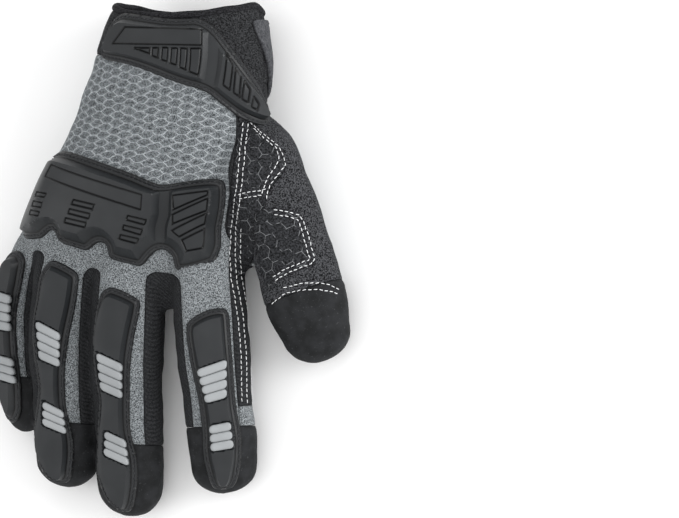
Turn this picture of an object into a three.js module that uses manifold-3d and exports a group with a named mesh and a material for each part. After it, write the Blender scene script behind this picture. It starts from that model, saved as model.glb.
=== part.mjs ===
// A right-hand mechanic's glove, laid palm down and filled to its worn shape.
// Millimetres, +Z up. The fingers point along -Y, the cuff opens at +Y and the thumb is at +X.
// The origin is on the flat resting face of the knuckle pad, under the middle of the palm.
import * as THREE from "three";
import { mergeVertices } from "three/addons/utils/BufferGeometryUtils.js";
import Module from "manifold-3d";

const wasm = await Module();
wasm.setup();

// Driving dimensions of the hand.
const PALM_LENGTH = 134; // from the finger webs to the cuff edge
const PALM_WIDTH = 118; // across the knuckles
const PALM_DEPTH = 48; // over the back of the hand at the wrist
const PALM_START = -15; // the knuckle end of PALM_LENGTH
const WEB_REACH = 8; // the webs between the fingers, past PALM_START
const THUMB_LENGTH = 124; // from its root in the wrist to its tip

// Walls and stacked layers.
const WALL = 1.8; // fabric and its lining
const GAP = 0.3; // between pieces that lie on each other
const SEAM = 0.3; // between panels that meet edge to edge
const PATCH = 1.3; // palm reinforcement patches
const PATCH_REST = GAP + PATCH; // how far the patches stand off the fabric
const SETTLE = 0.8; // how far the soft form flattens where it rests
const STRAP_THICK = 1.9; // wrist strap
const TAB_THICK = 2.2; // moulded grip tab on the strap
const STRAP_TOP = GAP + STRAP_THICK; // strap's outer face above the fabric
const TAB_TOP = STRAP_TOP + GAP + TAB_THICK; // tab's outer face above the fabric
const BINDING_RADIUS = 1.7; // rolled binding on the cuff edge
const CUFF_DIP = 4; // how far the cuff edge dips at the middle of the back
const STRAP_RAMP = 14; // over which the fabric rises to clear the strap and its tab

// Moulded guards.
const FLANGE = 1.6; // thickness of a guard's sewn border
const FLANGE_WIDTH = 3.2; // that border seen from above
const KNUCKLE_RISE = 6.4; // knuckle guard above the fabric
const PLATE_DEPTH = 1.0; // recessed plates of the guards
const FINGER_RISE = 4.4; // finger guards above the fabric
const RIB_FLOOR = 2.0; // bottom of a rib pocket above the fabric
const RIB_RISE = 5.4; // grey ribs above the fabric
const RIB_GROOVE = 1.2; // grooves between the bars, wide and deep
const CUFF_RISE = 4.2; // wrist guard above the fabric

// Fineness of the faceted forms.
const SURFACE = { palmSides: 18, palmRings: 7, limbSides: 10, limbRings: 5, dome: [0, 34, 64] };
const LINING = { palmSides: 12, palmRings: 4, limbSides: 8, limbRings: 3, dome: [0, 50] };
const ROUNDNESS = 2.25; // exponent of the oval sections, 2 for an ellipse
const BINDING_STEPS = 18;
const BINDING_SIDES = 6;
const TIP_START = 0.74; // share of a finger where its cap starts
const CAP_START = 0.735; // the same on the thumb
const CAP_END = 1.3; // past every tip
const STRIP = 0.8; // half width of a finger's back and front strips, as a share
const STRIP_END = TIP_START + 0.03; // where those strips end, past the cap's edge
const ASIDE = 1.6; // past both sides of a limb, in half widths

// Sections of the palm and wrist, from the webs to the cuff edge.
// along: share of PALM_LENGTH; shift and wide: shares of PALM_WIDTH; deep and lift: of PALM_DEPTH.
const PALM_SECTIONS = [
  { along: -0.06, shift: -0.06, wide: 0.72, deep: 0.36, lift: 0.17 },
  { along: 0.0, shift: -0.052, wide: 0.84, deep: 0.5, lift: 0.09 },
  { along: 0.07, shift: -0.045, wide: 0.94, deep: 0.65, lift: 0.012 },
  { along: 0.165, shift: -0.033, wide: 0.985, deep: 0.76, lift: 0 },
  { along: 0.236, shift: -0.03, wide: 0.985, deep: 0.83, lift: 0 },
  { along: 0.378, shift: 0.024, wide: 0.955, deep: 0.92, lift: 0 },
  { along: 0.52, shift: 0.099, wide: 0.88, deep: 0.95, lift: 0 },
  { along: 0.661, shift: 0.141, wide: 0.805, deep: 0.96, lift: 0 },
  { along: 0.803, shift: 0.183, wide: 0.742, deep: 0.96, lift: 0 },
  { along: 0.945, shift: 0.2, wide: 0.672, deep: 0.96, lift: 0 },
  { along: 1.0, shift: 0.215, wide: 0.63, deep: 0.95, lift: 0 },
];

// Each finger's own sizes. rootX and rootY: where its axis starts inside the palm, as shares
// of PALM_WIDTH and PALM_LENGTH; heading and roll in degrees; bow: share of its width.
const FINGERS = {
  index: {
    length: 122.3, width: 34, thick: 25, bow: 0, lift: 9,
    rootX: 0.285, rootY: 0.2, heading: 2.1, roll: 25,
  },
  middle: {
    length: 133.7, width: 34.5, thick: 25, bow: -0.03, lift: 12,
    rootX: -0.038, rootY: 0.2, heading: -3.4, roll: 5,
  },
  ring: {
    length: 120.2, width: 33, thick: 24, bow: -0.07, lift: 11,
    rootX: -0.31, rootY: 0.2, heading: -4.4, roll: 6,
  },
  little: {
    length: 103, width: 22.5, thick: 19.5, bow: -0.42, lift: 2,
    rootX: -0.465, rootY: 0.26, heading: -6.5, roll: -22,
  },
  thumb: {
    length: THUMB_LENGTH, width: 37.6, thick: 27, bow: 0.17, lift: 9,
    rootX: 0.394, rootY: 0.625, heading: 20.4, roll: 12,
  },
  web: {
    length: 52, width: 38, thick: 26, bow: 0, lift: 4,
    rootX: 0.34, rootY: 0.46, heading: 14, roll: 12,
  },
};
const DIGITS = ["index", "middle", "ring", "little"];

// Profiles along a limb, from root to tip. along: share of its length up to the round tip;
// side: share of bow; high: share of lift; wide and thick: shares of its width and thickness.
const FINGER_PROFILE = [
  { along: 0.0, side: 0.0, high: 0.8, wide: 0.9, thick: 0.86 },
  { along: 0.15, side: 0.55, high: 0.95, wide: 1.0, thick: 1.03 },
  { along: 0.32, side: 1.0, high: 0.85, wide: 1.03, thick: 1.02 },
  { along: 0.48, side: 1.0, high: 0.72, wide: 1.02, thick: 1.02 },
  { along: 0.64, side: 0.8, high: 0.45, wide: 0.96, thick: 0.95 },
  { along: 0.8, side: 0.5, high: 0.17, wide: 0.97, thick: 0.93 },
  { along: 0.89, side: 0.3, high: 0.05, wide: 0.92, thick: 0.9 },
];
const THUMB_PROFILE = [
  { along: 0.0, side: 0.0, high: 0.1, wide: 0.5, thick: 0.75 },
  { along: 0.15, side: 0.7, high: 0.7, wide: 1.0, thick: 1.25 },
  { along: 0.32, side: 1.0, high: 0.75, wide: 1.02, thick: 1.2 },
  { along: 0.52, side: 0.85, high: 0.5, wide: 1.0, thick: 1.03 },
  { along: 0.7, side: 0.5, high: 0.3, wide: 1.04, thick: 1.0 },
  { along: 0.82, side: 0.3, high: 0.12, wide: 0.99, thick: 0.97 },
  { along: 0.89, side: 0.18, high: 0.05, wide: 0.88, thick: 0.9 },
];
const WEB_PROFILE = [
  { along: 0.0, side: 0.0, high: 0.0, wide: 0.8, thick: 0.9 },
  { along: 0.4, side: 0.0, high: 0.6, wide: 1.0, thick: 1.0 },
  { along: 0.66, side: 0.0, high: 1.0, wide: 0.92, thick: 0.9 },
];

// Outlines on the hand. p: share of the half width from the middle; q: share of PALM_LENGTH.
const BACK_OUTLINE = [
  { p: -1.4, q: 0.16 },
  { p: -0.74, q: 0.145 },
  { p: -0.5, q: 0.09 },
  { p: -0.26, q: 0.079 },
  { p: 0.34, q: 0.069 },
  { p: 0.6, q: 0.05 },
  { p: 0.88, q: 0.046 },
  { p: 0.85, q: 0.137 },
  { p: 0.88, q: 0.27 },
  { p: 0.86, q: 0.408 },
  { p: 0.83, q: 0.56 },
  { p: 0.83, q: 1.1 },
  { p: -1.4, q: 1.1 },
];
const PALM_OUTLINE = [
  { p: -1.4, q: 0.16 },
  { p: -0.74, q: 0.12 },
  { p: -0.26, q: 0.05 },
  { p: 0.34, q: 0.05 },
  { p: 0.86, q: 0.07 },
  { p: 0.88, q: 0.3 },
  { p: 0.84, q: 0.56 },
  { p: 0.9, q: 0.74 },
  { p: 1.4, q: 0.76 },
  { p: 1.4, q: 1.1 },
  { p: -1.4, q: 1.1 },
];
const CUFF_OUTLINE = [
  { p: -1.4, q: 0.85 },
  { p: -0.32, q: 0.82 },
  { p: 0.3, q: 0.75 },
  { p: 0.75, q: 0.67 },
  { p: 1.0, q: 0.6 },
  { p: 1.4, q: 0.56 },
  { p: 1.4, q: 1.1 },
  { p: -1.4, q: 1.1 },
];
const THUMB_OUTLINE = [
  { p: 0.88, q: 0.12 },
  { p: 1.2, q: 0.06 },
  { p: 1.45, q: -0.06 },
  { p: 1.45, q: -0.5 },
  { p: 4, q: -0.5 },
  { p: 4, q: 0.8 },
  { p: 0.84, q: 0.8 },
];
const KNUCKLE_OUTLINE = [
  { p: -1.03, q: 0.467 },
  { p: -0.9, q: 0.493 },
  { p: -0.76, q: 0.495 },
  { p: -0.56, q: 0.476 },
  { p: 0.35, q: 0.376 },
  { p: 0.54, q: 0.39 },
  { p: 0.75, q: 0.399 },
  { p: 0.84, q: 0.369 },
  { p: 0.87, q: 0.289 },
  { p: 0.81, q: 0.117 },
  { p: 0.78, q: 0.098 },
  { p: 0.52, q: 0.069 },
  { p: 0.45, q: 0.09 },
  { p: 0.41, q: 0.141 },
  { p: 0.29, q: 0.14 },
  { p: 0.16, q: 0.091 },
  { p: 0.06, q: 0.092 },
  { p: -0.14, q: 0.115 },
  { p: -0.15, q: 0.17 },
  { p: -0.26, q: 0.172 },
  { p: -0.36, q: 0.145 },
  { p: -0.59, q: 0.176 },
  { p: -0.66, q: 0.223 },
  { p: -0.78, q: 0.186 },
  { p: -0.94, q: 0.186 },
  { p: -1.05, q: 0.215 },
  { p: -1.0, q: 0.36 },
];
const KNUCKLE_PLATE = [
  { p: -0.93, q: 0.425 },
  { p: -0.88, q: 0.45 },
  { p: 0.09, q: 0.352 },
  { p: 0.07, q: 0.305 },
  { p: -0.88, q: 0.41 },
];
const INDEX_PLATE = [
  { p: 0.45, q: 0.335 },
  { p: 0.76, q: 0.365 },
  { p: 0.77, q: 0.16 },
  { p: 0.58, q: 0.13 },
  { p: 0.47, q: 0.18 },
];
const WRIST_OUTLINE = [
  { p: -0.86, q: 0.861 },
  { p: -0.75, q: 0.95 },
  { p: -0.55, q: 0.962 },
  { p: 0.16, q: 0.94 },
  { p: 0.6, q: 0.945 },
  { p: 0.85, q: 0.81 },
  { p: 1.06, q: 0.69 },
  { p: 1.06, q: 0.62 },
  { p: 0.97, q: 0.59 },
  { p: 0.86, q: 0.61 },
  { p: 0.58, q: 0.693 },
  { p: 0.3, q: 0.729 },
  { p: -0.32, q: 0.8 },
  { p: -0.78, q: 0.82 },
];
const WRIST_PLATE = [
  { p: -0.55, q: 0.925 },
  { p: 0.45, q: 0.915 },
  { p: 0.47, q: 0.855 },
  { p: -0.6, q: 0.875 },
];
// The palm's three stitched pads.
const KNUCKLE_PAD = [
  { p: 0.78, q: 0.2 },
  { p: 0.84, q: 0.03 },
  { p: 0.62, q: -0.02 },
  { p: 0.26, q: 0.0 },
  { p: 0.2, q: -0.055 },
  { p: 0.02, q: -0.055 },
  { p: -0.18, q: 0.005 },
  { p: -0.4, q: -0.04 },
  { p: -0.54, q: -0.03 },
  { p: -0.62, q: 0.05 },
  { p: -0.84, q: 0.04 },
  { p: -0.93, q: 0.07 },
  { p: -0.92, q: 0.27 },
  { p: -0.2, q: 0.21 },
  { p: 0.3, q: 0.19 },
];
const HEEL_PAD = [
  { p: 0.53, q: 0.21 },
  { p: -0.2, q: 0.25 },
  { p: -0.78, q: 0.32 },
  { p: -0.9, q: 0.36 },
  { p: -0.92, q: 0.52 },
  { p: -0.78, q: 0.7 },
  { p: -0.42, q: 0.72 },
  { p: -0.26, q: 0.64 },
  { p: -0.05, q: 0.44 },
  { p: 0.2, q: 0.3 },
];
const THENAR_PAD = [
  { p: 0.62, q: 0.28 },
  { p: 0.4, q: 0.28 },
  { p: 0.0, q: 0.46 },
  { p: -0.16, q: 0.68 },
  { p: -0.05, q: 0.69 },
  { p: 0.3, q: 0.66 },
  { p: 0.62, q: 0.5 },
];
// The strap and its tab wrap round the thumb side and under the wrist.
// turn: degrees below the thumb side; from and to: shares of PALM_LENGTH.
const STRAP_WRAP = [
  { turn: 8, from: 0.67, to: 0.8 },
  { turn: 30, from: 0.71, to: 0.88 },
  { turn: 55, from: 0.745, to: 0.945 },
  { turn: 90, from: 0.765, to: 0.95 },
  { turn: 125, from: 0.785, to: 0.945 },
  { turn: 150, from: 0.81, to: 0.93 },
];
const TAB_WRAP = [
  { turn: 46, from: 0.745, to: 0.945 },
  { turn: 70, from: 0.757, to: 0.95 },
  { turn: 90, from: 0.768, to: 0.95 },
  { turn: 125, from: 0.788, to: 0.94 },
  { turn: 150, from: 0.815, to: 0.925 },
  { turn: 166, from: 0.85, to: 0.885 },
];
// Outlines on the limbs. t: share of the half width; s: share of the length from the root.
const THUMB_PATCH = [
  { t: -0.55, s: 0.42 },
  { t: 0.45, s: 0.42 },
  { t: 0.62, s: 0.48 },
  { t: 0.55, s: 0.66 },
  { t: -0.45, s: 0.68 },
];
const FINGER_GUARDS = {
  index: [
    { t: -0.55, s: 0.285 },
    { t: 0.45, s: 0.285 },
    { t: 0.5, s: 0.5 },
    { t: 0.44, s: 0.64 },
    { t: 0.6, s: 0.83 },
    { t: 0.4, s: 0.95 },
    { t: -0.45, s: 0.95 },
    { t: -0.62, s: 0.84 },
    { t: -0.48, s: 0.65 },
  ],
  middle: [
    { t: -0.6, s: 0.2 },
    { t: -0.2, s: 0.185 },
    { t: 0.56, s: 0.24 },
    { t: 0.22, s: 0.6 },
    { t: 0.42, s: 0.86 },
    { t: 0.25, s: 0.95 },
    { t: -0.5, s: 0.95 },
    { t: -0.74, s: 0.86 },
    { t: -0.78, s: 0.45 },
  ],
  ring: [
    { t: -0.5, s: 0.13 },
    { t: -0.2, s: 0.105 },
    { t: 0.6, s: 0.16 },
    { t: 0.34, s: 0.52 },
    { t: 0.5, s: 0.8 },
    { t: 0.35, s: 0.94 },
    { t: -0.5, s: 0.94 },
    { t: -0.72, s: 0.8 },
    { t: -0.72, s: 0.4 },
  ],
  little: [
    { t: -0.66, s: 0.17 },
    { t: 0.0, s: 0.13 },
    { t: 0.32, s: 0.17 },
    { t: 0.2, s: 0.4 },
    { t: 0.5, s: 0.78 },
    { t: 0.35, s: 0.93 },
    { t: -0.5, s: 0.93 },
    { t: -0.7, s: 0.75 },
    { t: -0.76, s: 0.4 },
  ],
};
// Grey ribs on each finger. from and to: shares of the length; left and right: of the half width;
// slant: how much further along the right side lies; bars: how many.
const RIBS = {
  index: {
    upper: { from: 0.49, to: 0.655, left: -0.4, right: 0.36, slant: -0.02, bars: 4 },
    lower: { from: 0.735, to: 0.845, left: -0.36, right: 0.36, slant: -0.02, bars: 3 },
  },
  middle: {
    upper: { from: 0.43, to: 0.6, left: -0.56, right: 0.1, slant: 0.03, bars: 4 },
    lower: { from: 0.705, to: 0.825, left: -0.52, right: 0.2, slant: 0.03, bars: 3 },
  },
  ring: {
    upper: { from: 0.36, to: 0.535, left: -0.5, right: 0.22, slant: 0.03, bars: 4 },
    lower: { from: 0.665, to: 0.79, left: -0.46, right: 0.3, slant: 0.03, bars: 3 },
  },
  little: {
    upper: { from: 0.34, to: 0.53, left: -0.56, right: 0.06, slant: 0.03, bars: 4 },
    lower: { from: 0.63, to: 0.77, left: -0.5, right: 0.2, slant: 0.03, bars: 3 },
  },
};
// Stitched patches on the front of each finger, from and to along it.
const FRONT_PATCHES = {
  index: { from: 0.34, to: 0.6 },
  middle: { from: 0.4, to: 0.62 },
  ring: { from: 0.4, to: 0.62 },
  little: { from: 0.36, to: 0.58 },
};

const rad = THREE.MathUtils.degToRad;
const X = new THREE.Vector3(1, 0, 0);
const Z = new THREE.Vector3(0, 0, 1);
const REACH = PALM_DEPTH + PALM_WIDTH / 4; // cuts reach past every wall

// A smooth curve through a table's column, at a place along it.
function along(table, column, at) {
  const last = table.length - 1;
  let i = 0;
  while (i < last - 1 && at > table[i + 1].along) i += 1;
  const value = (k) => table[Math.min(Math.max(k, 0), last)][column];
  const place = (k) => table[Math.min(Math.max(k, 0), last)].along;
  const slope = (k) => {
    const run = place(k + 1) - place(k - 1);
    return run > 0 ? (value(k + 1) - value(k - 1)) / run : 0;
  };
  const step = place(i + 1) - place(i);
  const t = (at - place(i)) / step;
  const a = value(i);
  const b = value(i + 1);
  const t2 = t * t;
  const t3 = t2 * t;
  const start = (2 * t3 - 3 * t2 + 1) * a + (t3 - 2 * t2 + t) * step * slope(i);
  return start + (3 * t2 - 2 * t3) * b + (t3 - t2) * step * slope(i + 1);
}

// How far the fabric stands off the surface that the glove lies on.
function restHeight(y) {
  const strapStart = PALM_START + 0.72 * PALM_LENGTH;
  const t = THREE.MathUtils.smoothstep(y, strapStart - STRAP_RAMP, strapStart);
  return PATCH_REST + (TAB_TOP - PATCH_REST) * t;
}

// One oval section: points round a centre, with its half sizes and the two axes across it.
function ring(centre, side, up, halfWide, halfDeep, sides, offset) {
  const points = [];
  for (let k = 0; k < sides; k += 1) {
    const angle = (2 * Math.PI * k) / sides;
    const c = Math.cos(angle);
    const s = Math.sin(angle);
    const across = Math.sign(c) * Math.abs(c) ** (2 / ROUNDNESS) * halfWide;
    const rise = Math.sign(s) * Math.abs(s) ** (2 / ROUNDNESS) * halfDeep;
    const p = centre.clone().addScaledVector(side, across).addScaledVector(up, rise);
    p.z = Math.max(p.z, restHeight(p.y) - offset);
    points.push(p);
  }
  return points;
}

// A closed mesh through rings of points; its ends are closed to the middle of the end rings.
function loft(rings) {
  const n = rings[0].length;
  const position = [];
  const index = [];
  rings.forEach((r) => r.forEach((p) => position.push(p.x, p.y, p.z)));
  const middle = (r) => r.reduce((sum, p) => sum.add(p), new THREE.Vector3()).divideScalar(n);
  const first = position.length / 3;
  position.push(...middle(rings[0]).toArray(), ...middle(rings.at(-1)).toArray());
  for (let k = 0; k < n; k += 1) {
    const next = (k + 1) % n;
    index.push(first, next, k);
    for (let i = 0; i < rings.length - 1; i += 1) {
      const a = i * n;
      index.push(a + k, a + next, a + n + k, a + next, a + n + next, a + n + k);
    }
    const end = (rings.length - 1) * n;
    index.push(first + 1, end + k, end + next);
  }
  return new THREE.BufferGeometry()
    .setAttribute("position", new THREE.Float32BufferAttribute(position, 3))
    .setIndex(index);
}

// A closed mesh as a solid to cut and join, turned so that its faces point out.
function solid(geometry) {
  const bare = geometry.clone();
  bare.deleteAttribute("normal");
  bare.deleteAttribute("uv");
  const merged = mergeVertices(bare, 1e-4);
  const corners = merged.index.array;
  const make = (order) =>
    new wasm.Manifold(
      new wasm.Mesh({
        numProp: 3,
        vertProperties: new Float32Array(merged.attributes.position.array),
        triVerts: new Uint32Array(order),
      }),
    );
  const made = make(corners);
  return made.volume() > 0 ? made : make(Array.from(corners).reverse());
}

// The palm's centre and half sizes at a share of its length.
function palmSection(at) {
  const halfWide = (along(PALM_SECTIONS, "wide", at) * PALM_WIDTH) / 2;
  const halfDeep = (along(PALM_SECTIONS, "deep", at) * PALM_DEPTH) / 2;
  const y = PALM_START + at * PALM_LENGTH;
  const x = along(PALM_SECTIONS, "shift", at) * PALM_WIDTH;
  const z = halfDeep + restHeight(y) - SETTLE + along(PALM_SECTIONS, "lift", at) * PALM_DEPTH;
  return { centre: new THREE.Vector3(x, y, z), halfWide, halfDeep };
}

// The palm and wrist form, grown by offset; its cuff end runs on by extend.
function palmForm(offset, extend, { palmSides, palmRings }) {
  const rings = [];
  const webs = -WEB_REACH / PALM_LENGTH;
  for (let i = palmRings; i >= 0; i -= 1) {
    const s = palmSection(webs + (i / palmRings) * (1 - webs));
    const centre = s.centre.clone();
    if (i === 0) centre.y -= offset;
    const points = ring(centre, X, Z, s.halfWide + offset, s.halfDeep + offset, palmSides, offset);
    if (i === palmRings) {
      points.forEach((p) => {
        const middle = 1 - Math.min(Math.abs(p.x - centre.x) / s.halfWide, 1) ** 2;
        p.y += extend - (p.z > centre.z ? CUFF_DIP * middle : 0);
      });
    }
    rings.push(points);
  }
  return solid(loft(rings));
}

function limbProfile(name) {
  return { thumb: THUMB_PROFILE, web: WEB_PROFILE }[name] ?? FINGER_PROFILE;
}

// A limb's axis, its two cross axes and half sizes at a share of its length.
function limbSection(name, at) {
  const f = FINGERS[name];
  const profile = limbProfile(name);
  const heading = rad(f.heading);
  const forward = new THREE.Vector3(Math.sin(heading), -Math.cos(heading), 0);
  const flat = new THREE.Vector3(Math.cos(heading), Math.sin(heading), 0);
  const roll = rad(f.roll);
  const side = flat.clone().multiplyScalar(Math.cos(roll)).addScaledVector(Z, -Math.sin(roll));
  const up = flat.clone().multiplyScalar(Math.sin(roll)).addScaledVector(Z, Math.cos(roll));
  const within = Math.min(Math.max(at, 0), profile.at(-1).along);
  const halfWide = (along(profile, "wide", within) * f.width) / 2;
  const halfDeep = (along(profile, "thick", within) * f.thick) / 2;
  const tall = Math.hypot(halfDeep * Math.cos(roll), halfWide * Math.sin(roll));
  const centre = new THREE.Vector3(f.rootX * PALM_WIDTH, PALM_START + f.rootY * PALM_LENGTH, 0)
    .addScaledVector(forward, at * f.length)
    .addScaledVector(flat, along(profile, "side", within) * f.bow * f.width);
  centre.z = tall + PATCH_REST - SETTLE + along(profile, "high", within) * f.lift;
  return { centre, side, up, forward, halfWide, halfDeep };
}

// A finger, thumb or web form, grown by offset.
function limbForm(name, offset, { limbSides, limbRings, dome } = SURFACE) {
  const domeStart = limbProfile(name).at(-1).along;
  const rings = [];
  for (let i = 0; i < limbRings; i += 1) {
    const s = limbSection(name, (i / limbRings) * domeStart);
    if (i === 0) s.centre.addScaledVector(s.forward, -offset);
    rings.push(ring(s.centre, s.side, s.up, s.halfWide + offset, s.halfDeep + offset, limbSides, offset));
  }
  const s = limbSection(name, domeStart);
  const reach = (1 - domeStart) * FINGERS[name].length + offset;
  dome.forEach((degrees) => {
    const shrink = Math.cos(rad(degrees));
    const centre = s.centre.clone().addScaledVector(s.forward, reach * Math.sin(rad(degrees)));
    const wide = (s.halfWide + offset) * shrink;
    const deep = (s.halfDeep + offset) * shrink;
    rings.push(ring(centre, s.side, s.up, wide, deep, limbSides, offset));
  });
  return solid(loft(rings));
}

// The whole hand form, grown by offset. Each offset is worked out once.
const skins = new Map();
function skin(offset) {
  if (!skins.has(offset)) skins.set(offset, bodyForm(offset, 0, SURFACE));
  return skins.get(offset);
}
function bodyForm(offset, extend, fineness) {
  return Object.keys(FINGERS).reduce(
    (form, name) => form.add(limbForm(name, offset, fineness)),
    palmForm(offset, extend, fineness),
  );
}

// Where a point of an outline lies: on the hand from its middle height up or down, or on a limb.
// Each chart has its size in millimetres for one unit of each share.
function handChart(direction) {
  return {
    wide: PALM_WIDTH / 2,
    long: PALM_LENGTH,
    place(p, q, out) {
      const s = palmSection(Math.min(Math.max(q, -WEB_REACH / PALM_LENGTH), 1));
      const y = PALM_START + q * PALM_LENGTH;
      return new THREE.Vector3(s.centre.x + p * s.halfWide, y, s.centre.z + direction * out);
    },
  };
}
function limbChart(name, direction) {
  return {
    wide: FINGERS[name].width / 2,
    long: FINGERS[name].length,
    place(t, v, out) {
      const s = limbSection(name, v);
      return s.centre.clone().addScaledVector(s.side, t * s.halfWide).addScaledVector(s.up, direction * out);
    },
  };
}

const BACK = handChart(1);
const FRONT = handChart(-1);

// The outline in millimetres, moved inwards by a distance, or outwards where it is negative.
function inset(chart, rows, distance) {
  const at = rows.map((r) => new THREE.Vector2((r.p ?? r.t) * chart.wide, (r.q ?? r.s) * chart.long));
  const turn = Math.sign(THREE.ShapeUtils.area(at));
  return at.map((here, k) => {
    const before = here.clone().sub(at.at(k - 1)).normalize();
    const after = at[(k + 1) % at.length].clone().sub(here).normalize();
    const inward = new THREE.Vector2(-before.y, before.x).multiplyScalar(turn);
    const across = inward.clone().add(new THREE.Vector2(-after.y, after.x).multiplyScalar(turn)).normalize();
    return here.clone().addScaledVector(across, distance / Math.max(across.dot(inward), 0.5));
  });
}

// A cut through the form: an outline on a chart, from a depth inside the form to past its wall.
function prism(chart, rows, distance = 0, from = 0) {
  const outline = inset(chart, rows, distance);
  const form = new THREE.ExtrudeGeometry(new THREE.Shape(outline), { depth: 1, bevelEnabled: false });
  const place = form.attributes.position;
  for (let i = 0; i < place.count; i += 1) {
    const out = place.getZ(i) > 0.5 ? REACH : from;
    const p = chart.place(place.getX(i) / chart.wide, place.getY(i) / chart.long, out);
    place.setXYZ(i, p.x, p.y, p.z);
  }
  return solid(form);
}

// An outline between two shares of a limb's half width and two of its length. The right side
// may lie further along by slant.
function stretch(left, right, from, to, slant = 0) {
  return [
    { t: left, s: from },
    { t: right, s: from + slant },
    { t: right, s: to + slant },
    { t: left, s: to },
  ];
}

// A block along a limb, wider than it, between two shares of its length.
function block(name, from, to) {
  return prism(limbChart(name, 1), stretch(-ASIDE, ASIDE, from, to), 0, -REACH);
}

// A strip along a limb's back or front, grown by a distance.
function strip(name, direction, left, right, grow) {
  return prism(limbChart(name, direction), stretch(left, right, 0, STRIP_END), -grow, -grow);
}

// An upright block through plan points.
function plan(points) {
  const depth = 4 * REACH;
  const form = new THREE.ExtrudeGeometry(new THREE.Shape(points), { depth, bevelEnabled: false });
  return solid(form.translate(0, 0, -depth / 2));
}

// The space between the middles of two neighbouring fingers, or past an outer finger.
function between(left, right) {
  const places = [-0.1, 0.2, 0.4, 0.6, 0.8, 1.1];
  const line = (name, aside) =>
    places.map((at) => {
      const s = limbSection(name, at);
      return new THREE.Vector2(s.centre.x + aside, s.centre.y);
    });
  const a = left ? line(left, 0) : line(right, -REACH);
  const b = right ? line(right, 0) : line(left, REACH);
  return plan([...a, ...b.reverse()]);
}

// The biggest body of a cut; the crumbs that a seam leaves at a corner are trimmed off.
function whole(form) {
  return form.decompose().reduce((best, body) => (body.volume() > best.volume() ? body : best));
}

// Fabric panels: each takes its region from what is left of the hollow shell.
let fabric = skin(0).subtract(bodyForm(-WALL, WALL * 3, LINING));
function panel(region) {
  const piece = whole(fabric.intersect(region(0)));
  fabric = fabric.subtract(region(SEAM));
  return piece;
}

const group = new THREE.Group();
function add(name, form, finish) {
  const mesh = form.getMesh();
  const geometry = new THREE.BufferGeometry()
    .setAttribute("position", new THREE.BufferAttribute(new Float32Array(mesh.vertProperties), 3))
    .setIndex(new THREE.BufferAttribute(new Uint32Array(mesh.triVerts), 1));
  const piece = new THREE.Mesh(geometry, finish);
  piece.name = name;
  group.add(piece);
}

const finish = (color, roughness) => new THREE.MeshStandardMaterial({ color, roughness, metalness: 0 });
const KNIT_GREY = finish("#85898b", 0.8);
const SUEDE_GREY = finish("#a3a9ab", 0.95);
const KNIT_BLACK = finish("#262829", 0.9);
const LEATHER_BLACK = finish("#2b2d2f", 0.75);
const RUBBER_BLACK = finish("#3b3d3f", 0.55);
const RUBBER_GREY = finish("#a9abad", 0.5);
const PATCH_BLACK = finish("#202224", 0.7);

// Finger caps and the thumb cap.
function capRegion(name, start) {
  const cut = (grow) => block(name, start - grow / FINGERS[name].length, CAP_END);
  return (grow) => limbForm(name, GAP / 2 + grow).intersect(cut(grow));
}
DIGITS.forEach((name) => add(`tip_${name}`, panel(capRegion(name, TIP_START)), LEATHER_BLACK));
add("thumb_cap", panel(capRegion("thumb", CAP_START)), RUBBER_BLACK);

// The cuff's back, then the back of the hand with its finger strips, then the palm.
add("cuff", panel((grow) => prism(BACK, CUFF_OUTLINE, -grow, -grow)), KNIT_BLACK);
add(
  "back_panel",
  panel((grow) =>
    DIGITS.reduce(
      (form, name) => form.add(strip(name, 1, -STRIP, name === "index" ? 0.58 : STRIP, grow)),
      prism(BACK, BACK_OUTLINE, -grow, -grow),
    ),
  ),
  KNIT_GREY,
);
const thumbHalf = stretch(-ASIDE, ASIDE, 0.1, 0.9);
add(
  "thumb_front",
  panel((grow) =>
    prism(limbChart("thumb", -1), thumbHalf, -grow, -grow).intersect(
      prism(FRONT, THUMB_OUTLINE, -grow, -REACH),
    ),
  ),
  SUEDE_GREY,
);
add("thumb_back", panel((grow) => prism(BACK, THUMB_OUTLINE, -grow, -REACH)), KNIT_BLACK);
add(
  "palm_panel",
  panel((grow) =>
    DIGITS.reduce(
      (form, name) => form.add(strip(name, -1, -STRIP, STRIP, grow)),
      prism(FRONT, PALM_OUTLINE, -grow, -3 * WALL),
    ),
  ),
  SUEDE_GREY,
);
add("fourchette_index_middle", panel(() => between("middle", "index")), KNIT_BLACK);
add("fourchette_middle_ring", panel(() => between("ring", "middle")), KNIT_BLACK);
add("fourchette_ring_little", panel(() => between("little", "ring")), KNIT_BLACK);
add("side_index", panel(() => between("index", null)), KNIT_BLACK);
add("side_little", panel(() => between(null, "little")), KNIT_BLACK);

// A piece on the form: its outline between two heights above the fabric.
function layer(chart, rows, low, high, distance = 0) {
  return prism(chart, rows, distance).intersect(skin(high)).subtract(skin(low));
}

// A guard: a thin sewn border and a raised body.
function guard(chart, rows, rise) {
  return layer(chart, rows, GAP, GAP + FLANGE).add(layer(chart, rows, GAP, rise, FLANGE_WIDTH));
}

add(
  "knuckle_guard",
  whole(
    guard(BACK, KNUCKLE_OUTLINE, KNUCKLE_RISE)
      .subtract(layer(BACK, KNUCKLE_PLATE, KNUCKLE_RISE - PLATE_DEPTH, KNUCKLE_RISE + GAP))
      .subtract(layer(BACK, INDEX_PLATE, KNUCKLE_RISE - PLATE_DEPTH, KNUCKLE_RISE + GAP)),
  ),
  RUBBER_BLACK,
);
add(
  "wrist_guard",
  whole(
    guard(BACK, WRIST_OUTLINE, CUFF_RISE).subtract(
      layer(BACK, WRIST_PLATE, CUFF_RISE - PLATE_DEPTH, CUFF_RISE + GAP),
    ),
  ),
  RUBBER_BLACK,
);

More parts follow.
